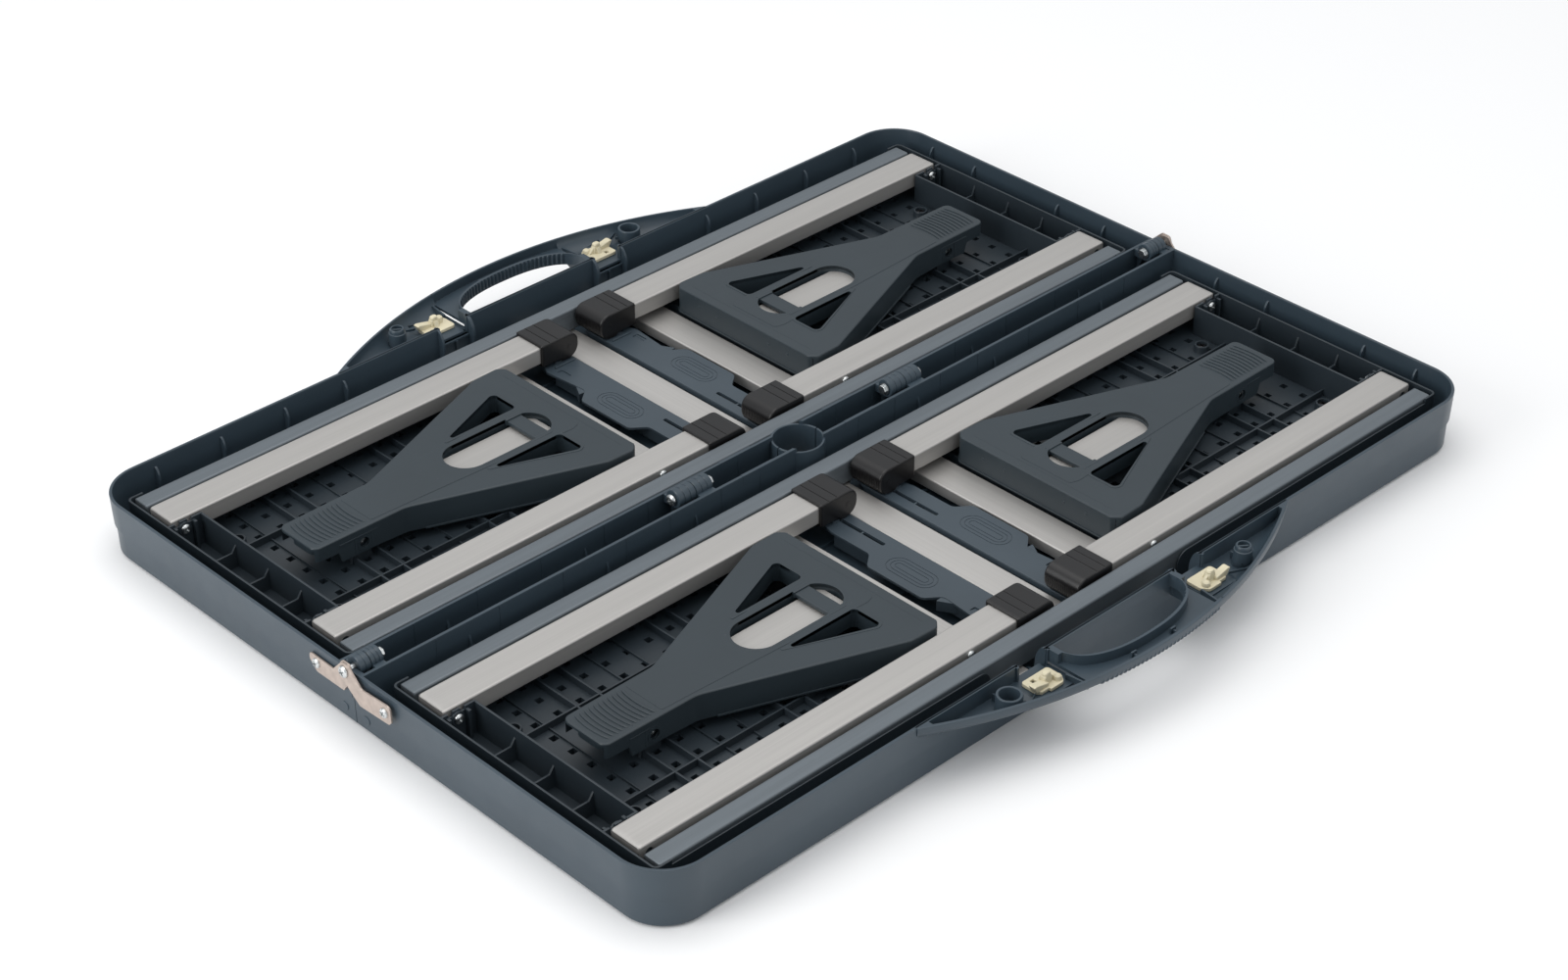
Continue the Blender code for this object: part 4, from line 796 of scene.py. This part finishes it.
def make_strut():
    y0, y1 = MID - TUBE_IN - TUBE_W + 3, MID + TUBE_IN + TUBE_W - 3
    x0, x1, wide, z1 = 17.5, 48.5, 57.0, 22.0
    out = fillet([(x0, y0), (x1 - 12, y0), (x1 - 4, y0 + 32), (x1 - 4, MID - 38), (wide, MID - 28), (wide, MID + 28),
                  (x1 - 4, MID + 38), (x1, y1 - 30), (x1 - 12, y1), (x0, y1)], [3, 3, 8, 6, 6, 6, 6, 8, 3, 3], 6)
    top = prism(out, "z", z1 - 3.0, z1 - 0.4)
    cuts = [prism(rounded((x0 + 9.0, MID - 84), (x0 + 12.6, MID - 38), 1.2, 3), "z", 0, z1 + 2),
            prism(rounded((x0 + 20.0, MID + 62), (x0 + 26.0, MID + 74), 1.2, 3), "z", z1 - 1.4, z1 + 2)]
    for r in (10.0, 6.6, 3.2):             # nested long grooves
        cx, ya, yb = 39.5, MID - 12.0, MID + 14.0
        outer = circle((cx, yb), r, 17, 0.0, math.pi, False) + circle((cx, ya), r, 17, math.pi, 2 * math.pi, False)
        inner = circle((cx, yb), r - 0.55, 17, 0.0, math.pi, False) + circle((cx, ya), r - 0.55, 17, math.pi, 2 * math.pi, False)
        ring = cut(prism(outer, "z", z1 - 0.75, z1 + 1), [prism(inner, "z", z1 - 2, z1 + 2)])
        cuts.append(ring)
    top = soft(top, 0.6, 2)
    top = cut(top, cuts)
    parts = [top]
    for x, y, z in (((x0 + 0.4, x0 + 2.4), (y0 + 4, y1 - 4), (9.0, z1 - 1)), ((x1 - 7.4, x1 - 5.4), (y0 + 34, y1 - 34), (9.0, z1 - 1)),
                    ((x0 + 1, x1 - 6), (MID - 30.9, MID - 29.3), (10.5, z1 - 1)), ((x0 + 1, x1 - 6), (MID + 29.3, MID + 30.9), (10.5, z1 - 1)),
                    ((x0 + 1, x1 - 6), (MID - 62.0, MID - 60.4), (12.0, z1 - 1)), ((x0 + 1, x1 - 6), (MID + 60.4, MID + 62.0), (12.0, z1 - 1))):
        parts.append(soft(box(x, y, z), 0.35))
    # step beside the wide stretch and a little gusset
    parts.append(soft(prism([(x1 - 5.5, MID + 36.0), (x1 - 5.5, MID + 52.0), (x1 + 3.0, MID + 37.0)], "z", 12.0, z1 - 1.0), 0.35))
    parts.append(soft(box((x0 + 3.0, x1 - 8.0), (MID + 78.0, MID + 79.6), (z1 - 2.0, z1 + 1.0)), 0.4))
    # raised flanges that run under the tubes
    for s in (-1, 1):
        lo, hi = sorted((MID + s * 84.0, MID + s * (TUBE_IN + TUBE_W - 3.4)))
        parts.append(soft(box((x0 + 2.0, x1 - 12.5), (lo, hi), (z1 - 2.0, z1 + 0.6)), 0.5))
    return join(parts)


# -------------------------------------------------------------------- brace
def make_brace():
    pts = [(92.0, -76.0), (98.0, -82.0), (122.0, -81.0), (271.0, -23.0), (354.0, -21.8),
           (354.0, 21.8), (271.0, 23.0), (122.0, 81.0), (98.0, 82.0), (92.0, 76.0)]
    rad = [4, 5, 12, 24, 6, 6, 24, 12, 5, 4]
    body = prism(fillet([(x, MID + y) for x, y in pts], rad, 6), "z", 22.0, BRACE_TOP)
    body = soft(body, 1.3, 3, 30)
    inner = [(94.6, -79), (122, -78.2), (271.0, -20.6), (360.0, -19.4), (360.0, 19.4), (271.0, 20.6), (122, 78.2), (94.6, 79)]
    hollow = prism([(x, MID + y) for x, y in inner], "z", 15.0, BRACE_TOP - 2.6)
    side_cut = prism([(262.0, 15.0), (262.0, 22.5), (298.0, 24.0), (330.0, 24.0), (333.0, 33.0), (360.0, 33.0), (360.0, 15.0)], "y", MID - 40, MID + 40)
    body = cut(body, [hollow, side_cut])
    wins, parts = [], []
    body = cut(body, [apart(prism(circle((BAR_X, BAR_Z - 1), 4.2, 24), "y", MID - 40, MID + 40))])
    big = [(91.3, -76.3), (97.6, -82.7), (122.2, -81.8), (271.2, -23.8), (300.0, -23.4), (300.0, 23.4), (271.2, 23.8), (122.2, 81.8), (97.6, 82.7), (91.3, 76.3)]
    flange = prism(fillet([(x, MID + y) for x, y in big], [4, 5, 12, 24, 2, 2, 24, 12, 5, 4], 6), "z", 22.0, 23.7)
    flange = soft(flange, 0.4, 2)
    inside = [(94.6, -79), (122, -78.2), (271.0, -20.6), (310.0, -19.4), (310.0, 19.4), (271.0, 20.6), (122, 78.2), (94.6, 79)]
    parts.append(cut(flange, [prism([(x, MID + y) for x, y in inside], "z", 10.0, 30.0), box((258.0, 330.0), (MID - 60, MID + 60), (10.0, 40.0))]))
    for s in (-1, 1):
        tri = [(124.0, MID + s * 26.0), (196.0, MID + s * 26.0), (128.0, MID + s * 53.0), (124.0, MID + s * 51.0)]
        wins.append(prism(fillet(tri, [4, 2, 4, 3], 5), "z", 10.0, BRACE_TOP + 5))
        # rolled lip round the window
        big = [(121.9, MID + s * 23.9), (201.5, MID + s * 23.9), (128.3, MID + s * 55.2), (121.9, MID + s * 52.8)]
        lip = prism(fillet(big, [5, 1.6, 5, 4], 5), "z", 30.0, BRACE_TOP + 0.45)
        wall = cut(soft(lip, 0.55, 2), [prism(fillet(tri, [4, 2, 4, 3], 5), "z", 10.0, BRACE_TOP + 5)])
        parts.append(wall)
    slot_o = circle((134.5, MID), 20.6, 25, math.pi / 2, 3 * math.pi / 2, False) + circle((194.5, MID), 20.6, 25, -math.pi / 2, math.pi / 2, False)
    slot_i = circle((134.5, MID), 18.4, 25, math.pi / 2, 3 * math.pi / 2, False) + circle((194.5, MID), 18.4, 25, -math.pi / 2, math.pi / 2, False)
    wins.append(prism(slot_i, "z", 10.0, BRACE_TOP + 5))
    body = cut(body, [apart(w) for w in wins])
    collar = soft(prism(slot_o, "z", 30.0, BRACE_TOP + 0.5), 0.6, 2)
    parts.append(cut(collar, [prism(slot_i, "z", 10.0, BRACE_TOP + 5)]))
    body = clean(body)
    parts.append(body)
    # trough rails beside the slide bar, strap over it and a strap under it
    for s in (-1, 1):
        lo, hi = sorted((MID + s * 19.4, MID + s * 21.2))
        parts.append(box((110.0, 285.0), (lo, hi), (29.0, BRACE_TOP - 1)))
    parts.append(soft(box((127.0, 141.0), (MID - 19.6, MID + 19.6), (41.0, BRACE_TOP - 0.4)), 0.8, 3))
    for s in (-1, 1):
        lo, hi = sorted((MID + s * 16.2, MID + s * 20.4))
        parts.append(soft(box((126.2, 141.8), (lo, hi), (40.2, BRACE_TOP + 0.6)), 0.5))
    parts.append(soft(box((236.0, 250.0), (MID - 20.2, MID + 20.2), (29.6, 33.6)), 0.4))
    # raised centre panel of the neck, fading out beside the slot
    panel = [(104.0, -25.0), (112.0, -27.5), (214.0, -22.4), (272.0, -19.6), (300.0, -18.6), (300.0, 18.6), (272.0, 19.6), (214.0, 22.4), (112.0, 27.5), (104.0, 25.0)]
    pan = prism(fillet([(x, MID + y) for x, y in panel], [4, 4, 12, 12, 2, 2, 12, 12, 4, 4], 4), "z", BRACE_TOP - 1.0, BRACE_TOP + 0.28)
    pan = soft(pan, 0.25, 2)
    keep_out = circle((134.5, MID), 19.6, 25, math.pi / 2, 3 * math.pi / 2, False) + circle((194.5, MID), 19.6, 25, -math.pi / 2, math.pi / 2, False)
    pan = cut(pan, [prism(keep_out, "z", 30, 60)] +
              [prism(fillet([(122.6, MID + s * 24.6), (199.5, MID + s * 24.6), (128.3, MID + s * 54.4), (122.6, MID + s * 52.0)], [4, 2, 4, 3], 4), "z", 30, 60) for s in (-1, 1)])
    parts.append(clean(pan))
    # curved ridges of the thumb pad
    for k in range(11):
        xc = 304.5 + 4.15 * k
        n = 14
        up, dn = [], []
        half = 17.6
        rows = []
        for j in range(n + 1):
            y = -half + 2 * half * j / n
            bow = 2.2 * (1 - (y / half) ** 2)
            taper = min(1.0, (half - abs(y)) / 1.8)
            h = 0.15 + 0.75 * max(0.0, taper)
            w = 1.15 * (0.35 + 0.65 * max(0.0, taper))
            rows.append([(xc + bow - w, MID + y, BRACE_TOP - 0.6), (xc + bow - w * 0.75, MID + y, BRACE_TOP + h * 0.75), (xc + bow, MID + y, BRACE_TOP + h),
                         (xc + bow + w * 0.75, MID + y, BRACE_TOP + h * 0.75), (xc + bow + w, MID + y, BRACE_TOP - 0.6)])
        parts.append(loft(rows))
    # side windows of the pad's base, and the tongue under the pad
    for s in (-1, 1):
        lo, hi = sorted((MID + s * 21.4, MID + s * 22.7))
        for x0, x1, z0, z1 in ((264.0, 332.0, 38.2, 39.4), (278.0, 279.6, 25.0, 39.0), (291.0, 292.6, 25.5, 39.0), (302.0, 303.6, 25.5, 39.0), (317.0, 318.6, 25.5, 39.0)):
            parts.append(soft(box((x0, x1), (lo, hi - 0.2 if s > 0 else hi), (z0, z1)), 0.3))
        parts.append(cut(prism(circle((BAR_X, BAR_Z - 1), 6.2, 24), "y", lo, hi), [prism(circle((BAR_X, BAR_Z - 1), 4.2, 24), "y", lo - 2, hi + 2)]))
    tongue = fillet([(322.0, MID - 16.0), (350.0, MID - 15.0), (350.0, MID + 15.0), (322.0, MID + 16.0)], [1, 8, 8, 1], 8)
    parts.append(soft(prism(tongue, "z", 33.2, 43.0), 0.8, 3))
    # ribs inside the skirt, mould lines on the base
    for y in (-60.0, -42.0, 42.0, 60.0):
        parts.append(box((94.0, 120.0), (MID + y - 0.8, MID + y + 0.8), (26.0, 43.0)))
    parts.append(soft(box((100.5, 101.0), (MID - 70, MID + 70), (BRACE_TOP - 0.5, BRACE_TOP + 0.08)), 0.03, 1))
    for s in (-1, 1):                      # rivet marks on the base face
        parts.append(aim(screw_head(1.5, 0.5, False), (92.1, MID + s * 30.0, 36.0), (-1, 0, 0)))
        parts.append(aim(screw_head(1.5, 0.5, False), (92.1, MID + s * 52.0, 36.0), (-1, 0, 0)))
    return join(parts)


def make_bar():
    bar = soft(box((118.0, BAR_X + 4.5), (MID - BAR_HALF, MID + BAR_HALF), (35.0, 40.0)), 0.8, 3)
    eye = [(BAR_X - 14, 36.0)] + circle((BAR_X, BAR_Z), 4.6, 17, math.pi + 0.4, 2 * math.pi, False) + [(BAR_X + 4.6, 36.0)]
    bar = join([bar, cut(prism(eye, "y", MID - BAR_HALF + 0.2, MID + BAR_HALF - 0.2), [prism(circle((BAR_X, BAR_Z), 2.8, 20), "y", MID - 30, MID + 30)])])
    return bar


def make_latch():
    x = 87.0
    plate = prism(fillet([(x - 13.5, 322.0), (x + 13.5, 322.0), (x + 13.5, 336.0), (x + 9, 341.4), (x - 9, 341.4), (x - 13.5, 336.0)], [2.5] * 6, 4), "z", 35.4, 38.2)
    plate = soft(cut(plate, [box((x + 3.5, x + 14.0), (339.4, 350.0), (30, 60)), box((x + 4.0, x + 7.6), (325.0, 328.6), (30, 60))]), 0.5, 2)
    post = fillet([(x - 4.2, 37.0), (x + 4.2, 37.0), (x + 3.4, 45.0), (x - 3.4, 45.0)], [0, 0, 2.6, 2.6], 5)
    post = soft(prism(post, "y", 330.6, 335.6), 0.9, 3)
    head = loft([[(px, py, z) for px, py in rounded((x - a, 333.0 - b), (x + a, 333.0 + b), min(a, b) * 0.7, 4)] for a, b, z in
                 ((2.2, 1.8, 43.0), (3.0, 2.4, 44.2), (3.2, 2.6, 45.4), (2.6, 2.1, 46.5), (1.4, 1.2, 47.0))])
    bump_ = loft([[(px, py, z) for px, py in circle((x - 8.0, 336.5), r, 20)] for r, z in ((3.3, 37.0), (3.2, 39.6), (2.7, 41.2), (1.6, 42.0))])
    tab = soft(prism([(x + 2.0, 37.2), (x + 14.0, 37.2), (x + 17.0, 43.0), (x + 14.5, 43.6), (x + 2.0, 40.8)], "y", 332.0, 338.0), 0.7, 3)
    fin = soft(prism([(x - 9.5, 37.5), (x - 3.0, 37.5), (x - 3.0, 44.0)], "y", 331.6, 334.4), 0.5, 2)
    hook = soft(prism([(327.2, 37.0), (330.8, 37.0), (331.4, 43.0), (329.8, 43.4)], "x", x - 2.0, x + 2.0), 0.4, 2)
    clip = join([plate, post, head, bump_, tab, fin, hook])
    clip.data.transform(Matrix.Translation((0.0, 0.0, 3.2 * MM)))
    return clip


def make_plate(s, layer):
    x1 = -LEN / 2 - 0.3 - layer * 1.9
    if s > 0:
        pts = [(-6.4, 46.4), (5.0, 30.4), (36.0, 30.2), (43.2, 38.0), (42.6, 43.6), (16.0, 43.2), (7.4, 52.4), (4.6, 56.6), (-4.0, 56.6)]
        rad = [3, 1, 5, 4, 2, 2, 3, 3, 3]
    else:
        pts = [(-6.4, 46.4), (2.4, 38.4), (15.2, 28.8), (47.4, 30.4), (50.2, 33.4), (49.6, 46.2), (18.0, 44.2), (7.6, 54.2), (4.6, 57.0), (-4.0, 56.6)]
        rad = [3, 3, 2, 1, 1, 4, 4, 2, 3, 3]
        pts, rad = [(-y, z) for y, z in pts][::-1], rad[::-1]
    plate = prism(fillet(pts, rad, 6), "x", x1 - 1.6, x1)
    plate = soft(plate, 0.35, 2)
    return cut(plate, [prism(circle((0.0, AXIS_Z), BOLT_HOLE_R, 20), "x", x1 - 5, x1 + 5)]), x1 - 1.6


# -------------------------------------------------------------------- build
Q = ("al", "ar", "bl", "br")
H = ("a", "b")
spread(make_shell(), "shell", "half", SLATE, H)
spread(make_rail(True), "rail_outer", "bench", PAINT, H)
spread(make_rail(False), "rail_inner", "bench", PAINT, H)
spread(make_link(-15.0, 15.0), "link_mid", "mid_link", ALU_Y, H)
spread(make_link(62.0, 92.0), "link_side", "links", ALU_Y, Q)
spread(make_seat(), "seat", "bench", SEAT_GREY, Q)
for flag, word in ((False, "inner"), (True, "outer")):
    spread(make_tube(flag), "tube_" + word, "leg", ALU_X, Q)
    spread(make_foot(flag), "foot_" + word, "leg", BLACK, Q)
spread(make_strut(), "strut", "leg", STRUT_GREY, Q)
spread(make_brace(), "brace", "brace", BRACE_GREY, Q)
spread(make_bar(), "slide_bar", "bar", ALU_X, Q)
spread(make_latch(), "latch", "latch", CREAM, Q)

# brace pivot screws on the outer faces of the leg tubes, and the leg pivot screws
parts = []
for out in (False, True):
    y0, y1 = tube_span(out)
    d = 1 if out else -1
    parts.append(screw_at((97.0, y1 if out else y0, 36.5), (0, d, 0), 3.6, 2.4, 0.2))
leg_screws = join(parts)
spread(leg_screws, "brace_screws", "leg", ZINC, Q, nodes=False)
parts = [screw_at((LEG_X, MID - TUBE_IN + 4.8, LEG_Z), (0, 1, 0), 3.9, 2.4, 0.5),
         screw_at((LEG_X, MID + TUBE_IN - 4.8, LEG_Z), (0, -1, 0), 3.9, 2.4, 0.9),
         screw_at((BAR_X, MID - BAR_HALF - 3.0, BAR_Z), (0, -1, 0), 3.6, 2.2, 0.1),
         screw_at((BAR_X, MID + BAR_HALF + 3.0, BAR_Z), (0, 1, 0), 3.6, 2.2, 0.7)]
spread(join(parts), "pivot_screws", "bench", ZINC, Q, nodes=False)
parts = [screw_at((bx, by, 16.5), (0, 0, 1), 4.0, 2.0, 0.4) for bx, by in
         ((139.0, MID + 38.0), (139.0, MID - 38.0), (364.0, MID + 62.0), (364.0, MID - 62.0))]
DARK = plated("dark_screw", (0.05, 0.05, 0.055), 0.35)
spread(join(parts), "seat_screws", "bench", DARK, Q, nodes=False)

# hinge plates with their screws; the -x end first, then turned to the +x end
for end in ("l", "r"):
    for s, layer in ((1, 0), (-1, 1)):
        half = "a" if (s > 0) == (end == "l") else "b"
        plate, face = make_plate(s, layer)
        heads = screw_at((face, 35.0, 38.0), (-1, 0, 0), 3.9, 2.0, 0.4) if s > 0 else screw_at((face, -43.2, 38.6), (-1, 0, 0), 3.9, 2.0, 1.1)
        if end == "r":
            plate.data.transform(TURN)
            heads.data.transform(TURN)
        put(plate, f"hinge_plate_{half}{end}_skin", f"half_{half}", CHAMPAGNE, "", (f"hinge_plate_{half}{end}",))
        put(heads, f"plate_screws_{half}{end}", f"half_{half}", ZINC)
        for o in (plate, heads):
            bpy.data.objects.remove(o, do_unlink=True)

# seam bolts: domed cross head, long shank, hex nut
EDGE = LEN / 2 + 4.1
for i, (x0, x1) in enumerate(((-EDGE, -401.0), (-129.6, -93.0), (93.0, 129.6), (401.0, EDGE))):
    a, b = (x0, x1) if x0 < 0 else (-x1, -x0)
    shank = prism(circle((0.0, AXIS_Z), 2.4, 20), "x", a, b)
    head = aim(screw_head(4.6, 2.3), (a + 0.1, 0.0, AXIS_Z), (-1, 0, 0), 0.5)
    nut = soft(prism(circle((0.0, AXIS_Z), 4.0, 6), "x", b - 0.2, b + 2.4), 0.35)
    washer = prism(circle((0.0, AXIS_Z), 5.0, 24), "x", b - 0.9, b - 0.1)
    bolt = join([shank, head, nut, washer])
    if x0 > 0:
        bolt.data.transform(TURN)
    put(bolt, f"seam_bolt_{i + 1}_skin", "half_b", ZINC, "", (f"seam_bolt_{i + 1}",))
    bpy.data.objects.remove(bolt, do_unlink=True)

# --------------------------------------------------- stage, lights, camera
floor_me = bpy.data.meshes.new("floor")
floor_me.from_pydata([(-9, -9, -0.0006), (9, -9, -0.0006), (9, 9, -0.0006), (-9, 9, -0.0006)], [], [(0, 1, 2, 3)])
floor = bpy.data.objects.new("floor", floor_me)
bpy.context.scene.collection.objects.link(floor)
fm, fnt, fp = nodes_of("pale_floor")
fp.inputs["Base Color"].default_value = (0.93, 0.93, 0.93, 1)
fp.inputs["Roughness"].default_value = 0.9
fp.inputs["Specular IOR Level"].default_value = 0.1
floor_me.materials.append(fm)

world = bpy.data.worlds.new("studio")
bpy.context.scene.world = world
world.use_nodes = True
bg = world.node_tree.nodes["Background"]
# a soft overhead dome: bright above, quieter towards the horizon
wnt = world.node_tree
wco = wnt.nodes.new("ShaderNodeTexCoord")
wse = wnt.nodes.new("ShaderNodeSeparateXYZ")
wnt.links.new(wco.outputs["Generated"], wse.inputs["Vector"])
dome = ramp(wnt, wse.outputs["Z"], [(0.0, (0.50, 0.51, 0.53)), (0.35, (0.36, 0.375, 0.39)), (0.62, (0.62, 0.635, 0.655)), (0.92, (1.0, 1.0, 1.0))])
wnt.links.new(dome, bg.inputs["Color"])
bg.inputs["Strength"].default_value = 1.12


def area(name, at, size, power, aim_at=(0, 0, 0.02), color=(1, 1, 1)):
    la = bpy.data.lights.new(name, "AREA")
    la.shape = "RECTANGLE"
    la.size, la.size_y = size
    la.energy = power
    la.color = color
    lo = bpy.data.objects.new(name, la)
    lo.location = at
    lo.rotation_euler = (Vector(aim_at) - Vector(at)).to_track_quat("-Z", "Y").to_euler()
    bpy.context.scene.collection.objects.link(lo)


area("top", (0.0, 0.2, 2.6), (2.2, 2.2), 16)
area("left", (-2.4, 0.5, 1.0), (1.2, 1.8), 30)
area("front", (0.3, -2.6, 0.9), (2.2, 1.0), 7)

AZ, EL, ROLL = 0.80596, 0.58612, -0.0034
f = Vector((math.cos(AZ) * math.cos(EL), math.sin(AZ) * math.cos(EL), -math.sin(EL)))
r = Vector((math.sin(AZ), -math.cos(AZ), 0.0))
u = r.cross(f)
r2 = r * math.cos(ROLL) + u * math.sin(ROLL)
u2 = -r * math.sin(ROLL) + u * math.cos(ROLL)
cam = bpy.data.cameras.new("camera")
cam.sensor_fit = "HORIZONTAL"
cam.sensor_width = 36.0
cam.lens = 3241.8 * 36.0 / 1600.0
cam.clip_start, cam.clip_end = 0.05, 50.0
co = bpy.data.objects.new("camera", cam)
co.matrix_world = Matrix(((r2.x, u2.x, -f.x, -1.41744), (r2.y, u2.y, -f.y, -1.46171), (r2.z, u2.z, -f.z, 1.35129), (0, 0, 0, 1)))
bpy.context.scene.collection.objects.link(co)
bpy.context.scene.camera = co
bpy.context.scene.view_settings.view_transform = "Standard"
